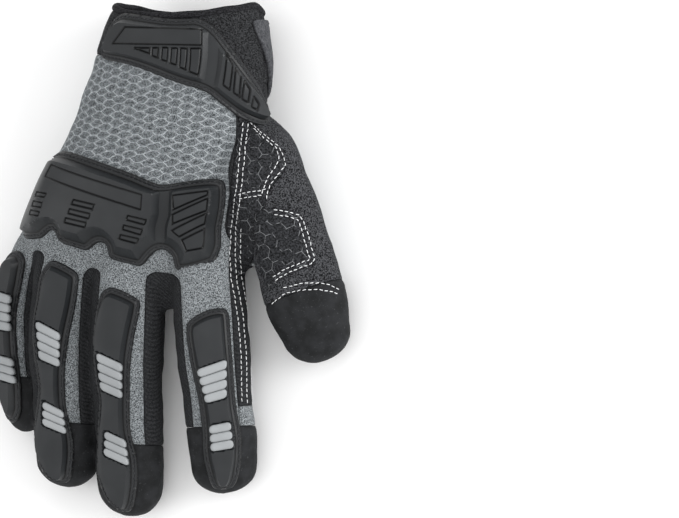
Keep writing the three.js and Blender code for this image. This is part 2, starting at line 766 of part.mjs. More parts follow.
// A stretch of ribs on a finger: a slanted block with grooves across it, grown by a distance.
function ribs(name, rib) {
  const chart = limbChart(name, 1);
  const rows = stretch(rib.left, rib.right, rib.from, rib.to, rib.slant);
  let form = layer(chart, rows, RIB_FLOOR + GAP, RIB_RISE);
  for (let i = 1; i < rib.bars; i += 1) {
    const at = rib.from + ((rib.to - rib.from) * i) / rib.bars;
    const half = RIB_GROOVE / 2 / FINGERS[name].length;
    const groove = stretch(rib.left - 0.1, rib.right + 0.1, at - half, at + half, rib.slant);
    form = form.subtract(layer(chart, groove, RIB_RISE - RIB_GROOVE, RIB_RISE + GAP));
  }
  return form;
}
DIGITS.forEach((name) => {
  const chart = limbChart(name, 1);
  let body = guard(chart, FINGER_GUARDS[name], FINGER_RISE);
  Object.entries(RIBS[name]).forEach(([place, rib]) => {
    const pocket = stretch(rib.left, rib.right, rib.from, rib.to, rib.slant);
    body = body.subtract(layer(chart, pocket, RIB_FLOOR, RIB_RISE, -GAP));
    add(`ribs_${name}_${place}`, whole(ribs(name, rib)), RUBBER_GREY);
  });
  add(`guard_${name}`, whole(body), RUBBER_BLACK);
});

// Palm pads, finger patches and the thumb patch.
add("pad_knuckles", whole(layer(FRONT, KNUCKLE_PAD, GAP, PATCH_REST)), PATCH_BLACK);
add("pad_heel", whole(layer(FRONT, HEEL_PAD, GAP, PATCH_REST)), PATCH_BLACK);
add("pad_thenar", whole(layer(FRONT, THENAR_PAD, GAP, PATCH_REST)), PATCH_BLACK);
DIGITS.forEach((name) => {
  const rows = stretch(-STRIP, STRIP, FRONT_PATCHES[name].from, FRONT_PATCHES[name].to);
  add(`patch_${name}`, whole(layer(limbChart(name, -1), rows, GAP, PATCH_REST)), PATCH_BLACK);
});
add("patch_thumb", whole(layer(limbChart("thumb", 1), THUMB_PATCH, GAP, PATCH_REST)), PATCH_BLACK);

// A band round the thumb side and under the wrist, from half the wrist's size to twice it.
function band(rows) {
  const rings = rows.map((row) => {
    const corner = (at, scale) => {
      const s = palmSection(at);
      const angle = rad(row.turn);
      const across = Math.cos(angle) * s.halfWide * scale;
      const fall = Math.sin(angle) * s.halfDeep * scale;
      return s.centre.clone().addScaledVector(X, across).addScaledVector(Z, -fall);
    };
    return [corner(row.from, 0.5), corner(row.to, 0.5), corner(row.to, 2), corner(row.from, 2)];
  });
  return solid(loft(rings));
}
add("wrist_strap", whole(band(STRAP_WRAP).intersect(skin(STRAP_TOP)).subtract(skin(GAP))), KNIT_BLACK);
add(
  "strap_tab",
  whole(band(TAB_WRAP).intersect(skin(TAB_TOP)).subtract(skin(STRAP_TOP + GAP))),
  RUBBER_BLACK,
);

// The rolled binding that closes the cuff's edge.
const cuffEdge = palmSection(1);
const edgePoints = ring(
  cuffEdge.centre,
  X,
  Z,
  cuffEdge.halfWide - WALL / 2,
  cuffEdge.halfDeep - WALL / 2,
  BINDING_STEPS,
  -WALL / 2,
);
edgePoints.forEach((p) => {
  const middle = 1 - Math.min(Math.abs(p.x - cuffEdge.centre.x) / cuffEdge.halfWide, 1) ** 2;
  p.y += GAP + BINDING_RADIUS - (p.z > cuffEdge.centre.z ? CUFF_DIP * middle : 0);
});
const bindingRings = edgePoints.map((p, k) => {
  const ahead = edgePoints[(k + 1) % BINDING_STEPS];
  const behind = edgePoints.at(k - 1);
  const run = ahead.clone().sub(behind).normalize();
  const out = new THREE.Vector3().crossVectors(run, new THREE.Vector3(0, 1, 0)).normalize();
  const forward = new THREE.Vector3().crossVectors(out, run).normalize();
  return Array.from({ length: BINDING_SIDES }, (_, i) => {
    const angle = ((2 * Math.PI) / BINDING_SIDES) * i;
    return p
      .clone()
      .addScaledVector(out, BINDING_RADIUS * Math.cos(angle))
      .addScaledVector(forward, BINDING_RADIUS * Math.sin(angle));
  });
});
function closedLoft(rings) {
  const n = rings[0].length;
  const position = rings.flatMap((r) => r.flatMap((p) => p.toArray()));
  const index = [];
  rings.forEach((r, i) => {
    const a = i * n;
    const b = ((i + 1) % rings.length) * n;
    r.forEach((p, k) => {
      const next = (k + 1) % n;
      index.push(a + k, a + next, b + k, a + next, b + next, b + k);
    });
  });
  return new THREE.BufferGeometry()
    .setAttribute("position", new THREE.Float32BufferAttribute(position, 3))
    .setIndex(index);
}
add("cuff_binding", solid(closedLoft(bindingRings)), KNIT_BLACK);

export default group;
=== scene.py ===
"""A right-hand mechanic's glove, lying palm down on a pale floor.

The soft form is lofted and merged at fine scale, cut into its panels along smooth seams, and given
a wall. Moulded guards, ribs, pads and the strap are raised from it along charts of the hand.
All making is in millimetres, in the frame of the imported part; meshes are stored in metres.
"""
import math

import bpy
import numpy as np
from mathutils import Matrix, Vector
from mathutils.bvhtree import BVHTree
from mathutils.geometry import delaunay_2d_cdt


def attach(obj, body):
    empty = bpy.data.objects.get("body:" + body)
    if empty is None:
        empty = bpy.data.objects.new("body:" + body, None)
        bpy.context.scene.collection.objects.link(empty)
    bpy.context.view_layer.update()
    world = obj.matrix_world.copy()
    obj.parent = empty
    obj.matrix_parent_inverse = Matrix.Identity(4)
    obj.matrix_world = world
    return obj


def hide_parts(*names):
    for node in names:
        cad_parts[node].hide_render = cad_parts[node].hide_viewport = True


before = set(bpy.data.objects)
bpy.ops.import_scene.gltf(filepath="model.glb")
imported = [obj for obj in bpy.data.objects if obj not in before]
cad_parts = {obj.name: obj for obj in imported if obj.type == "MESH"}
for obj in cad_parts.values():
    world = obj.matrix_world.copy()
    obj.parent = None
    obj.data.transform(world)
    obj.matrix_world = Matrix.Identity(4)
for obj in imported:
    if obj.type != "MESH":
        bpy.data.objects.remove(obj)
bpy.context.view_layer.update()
MM = 0.001

# The camera: far away with a long lens, over the back of the hand, turned towards the thumb.
VIEW_TURN = math.radians(25)
VIEW_RIGHT = np.array([math.cos(VIEW_TURN), 0, -math.sin(VIEW_TURN)])
VIEW_UP = np.array([0, 1.0, 0])
VIEW_BACK = np.array([math.sin(VIEW_TURN), 0, math.cos(VIEW_TURN)])
VIEW_CENTRE = (82.9, 0.5)  # the middle of the picture, right and up of the origin
VIEW_WIDTH = 322.5
LENS = 600
SENSOR = 36


def add_camera():
    data = bpy.data.cameras.new("camera")
    data.lens = LENS
    data.sensor_width = SENSOR
    data.clip_end = 50
    camera = bpy.data.objects.new("camera", data)
    away = VIEW_WIDTH * LENS / SENSOR
    place = VIEW_RIGHT * VIEW_CENTRE[0] + VIEW_UP * VIEW_CENTRE[1] + VIEW_BACK * away
    camera.matrix_world = Matrix([
        [VIEW_RIGHT[k], VIEW_UP[k], VIEW_BACK[k], place[k] * MM] for k in range(3)
    ] + [[0, 0, 0, 1]])
    bpy.context.scene.collection.objects.link(camera)
    bpy.context.scene.camera = camera


add_camera()

# The hand, as in the part.
PALM_LENGTH = 134.0
PALM_WIDTH = 118.0
PALM_DEPTH = 48.0
PALM_START = -15.0
PATCH_REST = 1.6
TAB_REST = 4.7
STRAP_RAMP = 14.0
SETTLE = 0.8  # how far the rounded form is pressed into the ground, before it is flattened
RIM_DIP = 5.0
ROUNDNESS = 2.25
TIP_START = 0.74  # share of a finger's length, as the next and STRIP_END
CAP_START = 0.735
STRIP = 0.8  # half the width of a grey strip, as a share of the finger's
STRIP_END = 0.77
DIGITS = ["index", "middle", "ring", "little"]


def columns(names, rows):
    return dict(zip(names.split(), np.array(rows, float).T))


PALM = columns("along shift wide deep lift", [
    (-0.06, -0.06, 0.72, 0.36, 0.17),
    (0.0, -0.052, 0.84, 0.5, 0.09),
    (0.07, -0.045, 0.94, 0.65, 0.012),
    (0.165, -0.033, 0.985, 0.76, 0),
    (0.236, -0.03, 0.985, 0.83, 0),
    (0.378, 0.024, 0.955, 0.92, 0),
    (0.52, 0.099, 0.88, 0.95, 0),
    (0.661, 0.141, 0.805, 0.96, 0),
    (0.803, 0.183, 0.742, 0.96, 0),
    (0.945, 0.2, 0.672, 0.96, 0),
    (1.0, 0.215, 0.63, 0.95, 0),
])
FINGER = columns("along side high wide thick", [
    (0.0, 0.0, 0.8, 0.9, 0.86),
    (0.15, 0.55, 0.95, 1.0, 1.03),
    (0.32, 1.0, 0.85, 1.03, 1.02),
    (0.48, 1.0, 0.72, 1.02, 1.02),
    (0.64, 0.8, 0.45, 0.96, 0.95),
    (0.8, 0.5, 0.17, 0.97, 0.93),
    (0.89, 0.3, 0.05, 0.92, 0.9),
])
THUMB = columns("along side high wide thick", [
    (0.0, 0.0, 0.1, 0.5, 0.75),
    (0.15, 0.7, 0.7, 1.0, 1.25),
    (0.32, 1.0, 0.75, 1.02, 1.2),
    (0.52, 0.85, 0.5, 1.0, 1.03),
    (0.7, 0.5, 0.3, 1.04, 1.0),
    (0.82, 0.3, 0.12, 0.99, 0.97),
    (0.89, 0.18, 0.05, 0.88, 0.9),
])
WEB = columns("along side high wide thick", [
    (0.0, 0.0, 0.0, 0.8, 0.9),
    (0.4, 0.0, 0.6, 1.0, 1.0),
    (0.66, 0.0, 1.0, 0.92, 0.9),
])
LIMB_SIZES = columns("length width thick bow lift x y heading roll", [
    (122.3, 34, 25, 0, 9, 0.285, 0.2, 2.1, 25),
    (133.7, 34.5, 25, -0.03, 12, -0.038, 0.2, -3.4, 5),
    (120.2, 33, 24, -0.07, 11, -0.31, 0.2, -4.4, 6),
    (103, 22.5, 19.5, -0.42, 2, -0.465, 0.26, -6.5, -22),
    (124, 37.6, 27, 0.17, 9, 0.394, 0.625, 20.4, 12),
    (52, 38, 26, 0, 4, 0.34, 0.46, 14, 12),
])
LIMBS = {
    name: {key: column[i] for key, column in LIMB_SIZES.items()}
    for i, name in enumerate([*DIGITS, "thumb", "web"])
}


def along(table, column, at):
    """A smooth curve through a table's column, at places along it."""
    x, y = table["along"], table[column]
    last = len(x) - 1
    at = np.asarray(at, float)
    i = np.clip(np.searchsorted(x, at) - 1, 0, last - 1)
    k = np.arange(last + 1)
    before, after = np.maximum(k - 1, 0), np.minimum(k + 1, last)
    slope = (y[after] - y[before]) / (x[after] - x[before])
    step = x[i + 1] - x[i]
    t = (at - x[i]) / step
    return (
        (2 * t**3 - 3 * t**2 + 1) * y[i]
        + (t**3 - 2 * t**2 + t) * step * slope[i]
        + (3 * t**2 - 2 * t**3) * y[i + 1]
        + (t**3 - t**2) * step * slope[i + 1]
    )


def signed_power(x, power):
    return np.sign(x) * np.abs(x) ** power


def unit(ways):
    """Directions of length 1."""
    return ways / np.maximum(np.linalg.norm(ways, axis=-1, keepdims=True), 1e-9)


def smoothstep(x, low, high):
    t = np.clip((x - low) / (high - low), 0, 1)
    return t * t * (3 - 2 * t)


def rest_height(y):
    """How far the fabric stands off the surface that the glove lies on."""
    start = PALM_START + 0.72 * PALM_LENGTH
    return PATCH_REST + (TAB_REST - PATCH_REST) * smoothstep(y, start - STRAP_RAMP, start)


def oval(angle, half_wide, half_deep):
    """Points of an oval section; angle 0 is the middle of the back."""
    across = signed_power(np.sin(angle), 2 / ROUNDNESS) * half_wide
    return across, signed_power(np.cos(angle), 2 / ROUNDNESS) * half_deep


class Chart:
    """Millimetres round and along the palm or a limb. Round is 0 at the middle of its back and
    grows towards the thumb; along starts at the webs on the palm and at the root on a limb."""

    def __init__(self, name):
        self.name = name
        if name == "palm":
            self.start = 1e9
            self.reach = 1.0
            self.side = np.array([1.0, 0, 0])
            self.up = np.array([0, 0, 1.0])
            self.forward = np.array([0, 1.0, 0])
            self.rows = np.linspace(-8, 142, 76)
        else:
            f = LIMBS[name]
            heading, roll = math.radians(f["heading"]), math.radians(f["roll"])
            self.profile = {"thumb": THUMB, "web": WEB}.get(name, FINGER)
            self.length = f["length"]
            self.start = self.profile["along"][-1] * f["length"]
            self.reach = f["length"] - self.start
            self.flat = np.array([math.cos(heading), math.sin(heading), 0])
            self.root = np.array([f["x"] * PALM_WIDTH, PALM_START + f["y"] * PALM_LENGTH, 0])
            self.forward = np.array([math.sin(heading), -math.cos(heading), 0])
            self.side = self.flat * math.cos(roll) - np.array([0, 0, math.sin(roll)])
            self.up = self.flat * math.sin(roll) + np.array([0, 0, math.cos(roll)])
            self.rows = np.linspace(0, self.start, 40)
        self.angles = np.radians(np.arange(-270, 451, 3))
        self.round = np.linspace(-320, 480, 1601)
        self.arcs, self.turns = [], []
        _, wide, deep = self.section(self.rows)
        for w, d in zip(wide, deep):
            x, z = oval(self.angles, w, d)
            arc = np.concatenate([[0], np.cumsum(np.hypot(np.diff(x), np.diff(z)))])
            arc -= np.interp(0, self.angles, arc)
            self.arcs.append(arc)
            self.turns.append(np.interp(self.round, arc, self.angles))
        self.arcs, self.turns = np.array(self.arcs), np.array(self.turns)

    def section(self, v):
        """Centres and half sizes at places along, before the round tip."""
        v = np.asarray(v, float)
        if self.name == "palm":
            q = np.clip(v / PALM_LENGTH, -0.06, 1)
            wide = along(PALM, "wide", q) * PALM_WIDTH / 2
            deep = along(PALM, "deep", q) * PALM_DEPTH / 2
            y = PALM_START + v
            x = along(PALM, "shift", q) * PALM_WIDTH
            z = deep + rest_height(y) - SETTLE + along(PALM, "lift", q) * PALM_DEPTH
            return np.stack([x, y, z], -1), wide, deep
        f = LIMBS[self.name]
        w = np.clip(v / self.length, 0, self.profile["along"][-1])
        wide = along(self.profile, "wide", w) * f["width"] / 2
        deep = along(self.profile, "thick", w) * f["thick"] / 2
        roll = math.radians(f["roll"])
        centre = self.root + v[..., None] * self.forward
        aside = along(self.profile, "side", w) * f["bow"] * f["width"]
        centre = centre + aside[..., None] * self.flat
        tall = np.hypot(deep * math.cos(roll), wide * math.sin(roll))
        centre[..., 2] = tall + PATCH_REST - SETTLE + along(self.profile, "high", w) * f["lift"]
        return centre, wide, deep

    def blend(self, table, across, v):
        """A table's value at fractional columns and at places along."""
        i = np.clip(across, 0, table.shape[1] - 1.001)
        j = np.clip((v - self.rows[0]) / (self.rows[1] - self.rows[0]), 0, len(self.rows) - 1.001)
        i0, j0 = i.astype(int), j.astype(int)
        i1, j1 = i - i0, j - j0
        low = table[j0, i0] * (1 - i1) + table[j0, i0 + 1] * i1
        high = table[j0 + 1, i0] * (1 - i1) + table[j0 + 1, i0 + 1] * i1
        return low * (1 - j1) + high * j1

    def turn(self, a, v):
        """The oval's angle at a distance round."""
        step = self.round[1] - self.round[0]
        return self.blend(self.turns, (a - self.round[0]) / step, v)

    def arc(self, angle, v):
        """The distance round at an oval's angle."""
        step = self.angles[1] - self.angles[0]
        return self.blend(self.arcs, (angle - self.angles[0]) / step, v)

    def at_angle(self, angle, v):
        """Points of the smooth form and its outward directions there."""
        phi = np.clip((v - self.start) / self.reach, 0, math.pi / 2)
        shrink = np.cos(phi)
        centre, wide, deep = self.section(np.minimum(v, self.start))
        x, z = oval(angle, wide, deep)
        nx = signed_power(x / wide, ROUNDNESS - 1) / wide
        nz = signed_power(z / deep, ROUNDNESS - 1) / deep
        size = np.hypot(nx, nz)
        p = centre + (x * shrink)[..., None] * self.side + (z * shrink)[..., None] * self.up
        p = p + (self.reach * np.sin(phi))[..., None] * self.forward
        n = (nx / size * shrink)[..., None] * self.side + (nz / size * shrink)[..., None] * self.up
        n = n + np.sin(phi)[..., None] * self.forward
        return p, n

    def place(self, a, v):
        a, v = np.broadcast_arrays(np.asarray(a, float), np.asarray(v, float))
        phi = np.clip((v - self.start) / self.reach, 0, 1.5)
        return self.at_angle(self.turn(a / np.cos(phi), np.minimum(v, self.start)), v)

    def held(self, v):
        """Places along, held on a limb to the stretch before its round tip."""
        return v if self.name == "palm" else np.clip(v, 0, self.start)

    def shares(self, points):
        """Where points lie: shares aside and up, millimetres along, and the half sizes there."""
        if self.name == "palm":
            v = points[:, 1] - PALM_START
        else:
            v = (points - self.root) @ self.forward
        centre, wide, deep = self.section(self.held(v))
        if self.name != "palm":
            centre = centre + np.maximum(v - self.start, 0)[:, None] * self.forward
        away = points - centre
        return away @ self.side / wide, away @ self.up / deep, v, wide, deep

    def unwrap(self, points):
        """The distance round and along for points near the form."""
        x, z, v, _, _ = self.shares(points)
        angle = np.arctan2(signed_power(x, ROUNDNESS / 2), signed_power(z, ROUNDNESS / 2))
        return self.arc(angle, self.held(v)), v

    def around_front(self, share, v):
        """The distance round for a share of the half width, on the side of the palm."""
        angle = np.arcsin(np.clip(np.abs(share), 0, 1) ** (ROUNDNESS / 2)) * np.sign(share)
        _, wide, _ = self.section(np.minimum(v, self.start))
        past = np.maximum(np.abs(share) - 1, 0) * wide * np.sign(share)
        return self.arc(math.pi - angle, np.minimum(v, self.start)) - past


CHARTS = {name: Chart(name) for name in ["palm", *LIMBS]}

# Plane geometry.


def rounded_line(points, times=2):
    """A closed line with its corners cut again and again."""
    here = np.asarray(points, float)
    for _ in range(times):
        ahead = np.roll(here, -1, 0)
        here = np.stack([here * 0.75 + ahead * 0.25, here * 0.25 + ahead * 0.75], 1).reshape(-1, 2)
    return here


def rounded_corners(points, radius):
    """A closed line with arcs of about a radius at its corners."""
    points = np.asarray(points, float)
    out = []
    for k, here in enumerate(points):
        for other in (points[k - 1], points[(k + 1) % len(points)]):
            run = other - here
            size = np.linalg.norm(run)
            out.append(here + run * min(radius / size, 0.48))
    out = np.array(out)
    for _ in range(2):
        ahead = np.roll(out, -1, 0)
        long = np.linalg.norm(ahead - out, axis=1) > radius * 1.6
        cut = []
        for a, b, skip in zip(out, ahead, long):
            run = unit(b - a) * radius * 0.3
            cut += [a + run, b - run] if skip else [a * 0.75 + b * 0.25, a * 0.25 + b * 0.75]
        out = np.array(cut)
    return out


def resample(points, step, closed=True):
    """Points at even steps along a line."""
    points = np.asarray(points, float)
    if closed:
        points = np.concatenate([points, points[:1]])
    run = np.concatenate([[0], np.cumsum(np.linalg.norm(np.diff(points, axis=0), axis=1))])
    count = max(int(round(run[-1] / step)), 3 if closed else 1)
    at = np.linspace(0, run[-1], count + 1)
    out = np.stack([np.interp(at, run, points[:, k]) for k in range(points.shape[1])], 1)
    return out[:-1] if closed else out


def line_distance(points, line, closed=True):
    """Distances to a line and the nearest points on it."""
    a = np.asarray(line, float)
    b = np.roll(a, -1, 0)
    if not closed:
        a, b = a[:-1], b[:-1]
    best = np.full(len(points), 1e9)
    near = np.zeros((len(points), 2))
    for p, q in zip(a, b):
        run = q - p
        t = np.clip((points - p) @ run / max(run @ run, 1e-12), 0, 1)
        foot = p + t[:, None] * run
        d = np.linalg.norm(points - foot, axis=1)
        closer = d < best
        best[closer] = d[closer]
        near[closer] = foot[closer]
    return best, near


def is_inside(points, outline):
    x, y = points[:, 0], points[:, 1]
    a = np.asarray(outline, float)
    b = np.roll(a, -1, 0)
    odd = np.zeros(len(points), bool)
    for (x0, y0), (x1, y1) in zip(a, b):
        if y0 == y1:
            continue
        cross = ((y0 > y) != (y1 > y)) & (x < (x1 - x0) * (y - y0) / (y1 - y0) + x0)
        odd ^= cross
    return odd


def outline_depth(points, outline):
    """How far inside an outline points are, below 0 outside."""
    d, _ = line_distance(points, outline)
    return np.where(is_inside(points, outline), d, -d)


def shifted(line, aside, closed=False):
    """A line moved aside, to its left where aside is over 0."""
    line = np.asarray(line, float)
    if closed:
        run = np.roll(line, -1, 0) - np.roll(line, 1, 0)
    else:
        run = np.gradient(line, axis=0)
    run = unit(run)
    return line + np.stack([-run[:, 1], run[:, 0]], 1) * aside


def turn_sign(outline):
    """1 for an outline that runs against the clock, -1 for one that runs with it."""
    x, y = outline[:, 0], outline[:, 1]
    return 1 if np.sum(x * np.roll(y, -1) - np.roll(x, -1) * y) > 0 else -1


def inside_outline(outline, distance):
    """An outline moved inwards."""
    outline = resample(outline, 1.0)
    line = shifted(outline, distance * turn_sign(outline), True)
    return line[outline_depth(line, outline) > distance * 0.9]


# Making meshes.


def make_object(name, points, faces, material=None, smooth=True):
    """A mesh object from points in millimetres."""
    mesh = bpy.data.meshes.new(name)
    points = np.asarray(points, float) * MM
    if isinstance(faces, np.ndarray):
        size = faces.shape[1]
        mesh.vertices.add(len(points))
        mesh.vertices.foreach_set("co", points.ravel())
        mesh.loops.add(faces.size)
        mesh.loops.foreach_set("vertex_index", faces.ravel().astype(np.int32))
        mesh.polygons.add(len(faces))
        mesh.polygons.foreach_set("loop_start", np.arange(0, faces.size, size, dtype=np.int32))
        mesh.update(calc_edges=True)
        mesh.validate()
    else:
        mesh.from_pydata(points.tolist(), [], faces)
    mesh.update()
    if smooth:
        mesh.shade_smooth()
    obj = bpy.data.objects.new(name, mesh)
    bpy.context.scene.collection.objects.link(obj)
    if material:
        mesh.materials.append(material)
    return obj


def keep_piece(obj, nodes=()):
    """The piece rides with the part and stands for its nodes, which it hides."""
    if nodes:
        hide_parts(*nodes)
    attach(obj, "root")
    return obj


def write_uv(obj, uv):
    """A map in millimetres, from one pair of numbers a point."""
    layer = obj.data.uv_layers.new(name="UVMap")
    at = np.zeros(len(obj.data.loops), np.int32)
    obj.data.loops.foreach_get("vertex_index", at)
    layer.uv.foreach_set("vector", np.asarray(uv, np.float32)[at].ravel())


# The soft form.
VOXEL = 1.2
SMOOTHING = 7  # rounds of smoothing after the merge
WAVES = 7
RAY_START = 14.0  # how far outside the form a ray towards it starts
VIEW_START = 150  # the same for a ray from the camera
VIEW_REACH = 400


def tube_quads(rings, sides, closed=False):
    """Faces between rings of points, from ring to ring."""
    spans = rings if closed else rings - 1
    i, k = np.divmod(np.arange(spans * sides), sides)
    j, l = (i + 1) % rings, (k + 1) % sides
    return np.stack([i * sides + k, i * sides + l, j * sides + l, j * sides + k], 1)


def loft(rings):
    """Faces through rings of points, with both ends closed."""
    count, n = rings.shape[:2]
    ends = [list(range(n))[::-1], list(range((count - 1) * n, count * n))]
    return rings.reshape(-1, 3), tube_quads(count, n).tolist() + ends


def form_rings(chart):
    angle = np.radians(np.arange(0, 360, 3))
    if chart.name == "palm":
        v = np.arange(-8, 142.1, 2)
    else:
        dome = chart.start + chart.reach * np.radians([10, 20, 30, 40, 50, 60, 70, 78, 84, 88])
        v = np.concatenate([np.linspace(0, chart.start, 50), dome])
    a, w = np.meshgrid(angle, v)
    p, _ = chart.at_angle(a, w)
    p[..., 2] = np.maximum(p[..., 2], rest_height(p[..., 1]))
    return p


def build_form():
    points, faces, base = [], [], 0
    for chart in CHARTS.values():
        p, f = loft(form_rings(chart))
        points.append(p)
        faces += [[k + base for k in face] for face in f]
        base += len(p)
    raw = make_object("form", np.concatenate(points), faces)
    remesh = raw.modifiers.new("merge", "REMESH")
    remesh.mode = "VOXEL"
    remesh.voxel_size = VOXEL * MM
    remesh.adaptivity = 0
    soften = raw.modifiers.new("soften", "SMOOTH")
    soften.factor = 0.5
    soften.iterations = SMOOTHING
    graph = bpy.context.evaluated_depsgraph_get()
    mesh = bpy.data.meshes.new_from_object(raw.evaluated_get(graph))
    mesh.calc_loop_triangles()
    points = np.zeros(len(mesh.vertices) * 3)
    mesh.vertices.foreach_get("co", points)
    tris = np.zeros(len(mesh.loop_triangles) * 3, np.int64)
    mesh.loop_triangles.foreach_get("vertices", tris)
    bpy.data.objects.remove(raw, do_unlink=True)
    bpy.data.meshes.remove(mesh)
    return points.reshape(-1, 3) / MM, tris.reshape(-1, 3)


def face_ways(points, tris):
    """Directions out of triangles, as long as the triangles are large."""
    a, b, c = (points[tris[:, k]] for k in range(3))
    return np.cross(b - a, c - a)


def point_normals(points, tris):
    ways = face_ways(points, tris)
    out = np.zeros_like(points)
    for k in range(3):
        np.add.at(out, tris[:, k], ways)
    return unit(out)


def edge_pairs(tris):
    return np.concatenate([tris[:, [0, 1]], tris[:, [1, 2]], tris[:, [2, 0]]])


def waves(points, seed, size):
    """Soft random waves between about -1 and 1, the same each run."""
    rng = np.random.default_rng(seed)
    total = np.zeros(len(points))
    for _ in range(WAVES):
        way = rng.normal(size=3)
        way /= np.linalg.norm(way)
        turns = points @ way * (2 * math.pi / (size * rng.uniform(0.7, 1.5)))
        total += np.sin(turns + rng.uniform(0, 6.3))
    return total / math.sqrt(WAVES)


FORM_POINTS, FORM_TRIS = build_form()
FORM_NORMALS = point_normals(FORM_POINTS, FORM_TRIS)


def wrinkle():
    """Shallow folds of the fabric, none where it rests."""
    p, n = FORM_POINTS, FORM_NORMALS
    depth = 0.22 * waves(p, 3, 26) + 0.1 * waves(p, 5, 9)
    lying = smoothstep(p[:, 2], 2.5, 6)
    return p + n * (depth * lying)[:, None]


FORM_POINTS = wrinkle()
FORM_POINTS[:, 2] = np.maximum(FORM_POINTS[:, 2], rest_height(FORM_POINTS[:, 1]) - 0.15)
FORM_NORMALS = point_normals(FORM_POINTS, FORM_TRIS)
FORM_TREE = BVHTree.FromPolygons((FORM_POINTS * MM).tolist(), FORM_TRIS.tolist())


def smoothed(values, tris, count, times):
    """Values over a mesh's points, each drawn towards its neighbours."""
    pairs = edge_pairs(tris)
    pairs = np.concatenate([pairs, pairs[:, ::-1]])
    ends = np.bincount(pairs[:, 0], minlength=count).astype(float)
    for _ in range(times):
        total = np.bincount(pairs[:, 0], weights=values[pairs[:, 1]], minlength=count)
        values = 0.4 * values + 0.6 * total / np.maximum(ends, 1)
    return values


def reach_form(points, normals):
    """How far the form lies from points along their normals, or nan where none is near."""
    out = np.full(len(points), np.nan)
    starts = (points + normals * RAY_START) * MM
    for i, (p, n) in enumerate(zip(starts.tolist(), (-normals).tolist())):
        hit = FORM_TREE.ray_cast(p, n, RAY_START * 2 * MM)
        if hit[0] is not None:
            out[i] = RAY_START - hit[3] / MM
    return out


def view_hits(line):
    """Points and normals of the form that the camera sees, right and up of the origin."""
    points, normals = [], []
    for x, y in line:
        start = (VIEW_RIGHT * x + VIEW_UP * y + VIEW_BACK * VIEW_START) * MM
        hit = FORM_TREE.ray_cast(start.tolist(), (-VIEW_BACK).tolist(), VIEW_REACH * MM)
        if hit[0] is not None:
            points.append(np.array(hit[0]) / MM)
            normals.append(np.array(hit[1]))
    return np.array(points), np.array(normals)


# Cutting the form into panels.
SEAM = 0.24  # the gap between two panels
WALL = 1.5
SEAM_DIP = 0.55  # how deep a panel's edge turns in
THUMB_SEAM = 3.5  # how far the seam of the thumb's front lies under its middle
THUMB_FRONT_START = 12
PALM_EDGE = 5.4  # how far the palm's fabric reaches up over the middle of the hand
LIMB_REACH = 1.3  # how far round a limb its panels reach, in shares of its half sizes
SHARE_MM = 12  # makes about millimetres of such a share, and of a cosine
FAR_FROM_SEAM = 9.0
BACK_CORNER = 5.0  # how round the corners between the strips and the hand are
PALM_CORNER = 3.0
CRUMB = 0.08  # the share of a panel's biggest island that a part of it needs to stay


class Skin:
    """A piece of the form's surface: rows of place, normal and distance to the nearest seam."""

    def __init__(self, data, tris):
        used, at = np.unique(tris, return_inverse=True)
        self.data = data[used]
        self.tris = at.reshape(-1, 3)

    @property
    def points(self):
        return self.data[:, :3]


def clip(skin, f):
    """The part of a skin where f is over 0, and the part where it is under 0."""
    parts = []
    data = skin.data.copy()
    data[:, 6] = np.minimum(data[:, 6], np.abs(f))
    for sign in (1, -1):
        g = f * sign - SEAM / 2
        inside = g > 0
        state = inside[skin.tris]
        count = state.sum(1)
        whole = skin.tris[count == 3]
        part = skin.tris[(count == 1) | (count == 2)]
        if not len(part):
            parts.append(Skin(data, whole) if len(whole) else None)
            continue
        state = inside[part]
        alone = state.sum(1) == 1
        odd = np.where(alone, np.argmax(state, 1), np.argmin(state, 1))
        row = np.arange(len(part))
        a, b, c = part[row, odd], part[row, (odd + 1) % 3], part[row, (odd + 2) % 3]
        pairs = np.sort(np.concatenate([np.stack([a, b], 1), np.stack([a, c], 1)]), 1)
        edges, at = np.unique(pairs, axis=0, return_inverse=True)
        at = at.ravel()
        low, high = g[edges[:, 0]], g[edges[:, 1]]
        w = (low / (low - high))[:, None]
        new = data[edges[:, 0]] * (1 - w) + data[edges[:, 1]] * w
        new[:, 6] = 0
        ab = len(data) + at[:len(part)]
        ac = len(data) + at[len(part):]
        tris = np.concatenate([
            whole,
            np.stack([a, ab, ac], 1)[alone],
            np.stack([ab, b, c], 1)[~alone],
            np.stack([ab, c, ac], 1)[~alone],
        ])
        parts.append(Skin(np.concatenate([data, new]), tris))
    return parts


def islands(skin):
    """The number of its island for each triangle of a skin, and their sizes."""
    label = np.arange(len(skin.data))
    t = skin.tris
    while True:
        low = label[t].min(1)
        new = label.copy()
        for k in range(3):
            np.minimum.at(new, t[:, k], low)
        new = new[new]
        if (new == label).all():
            break
        label = new
    _, at, sizes = np.unique(label[t[:, 0]], return_inverse=True, return_counts=True)
    return at.ravel(), sizes


def joined(skins):
    skins = [s for s in skins if s is not None and len(s.tris)]
    base, data, tris = 0, [], []
    for s in skins:
        data.append(s.data)
        tris.append(s.tris + base)
        base += len(s.data)
    return Skin(np.concatenate(data), np.concatenate(tris))


def hand_outline(rows, times=2):
    """An outline in shares of the half width and of the length, as millimetres."""
    return rounded_line(np.array(rows, float) * (PALM_WIDTH / 2, PALM_LENGTH), times)


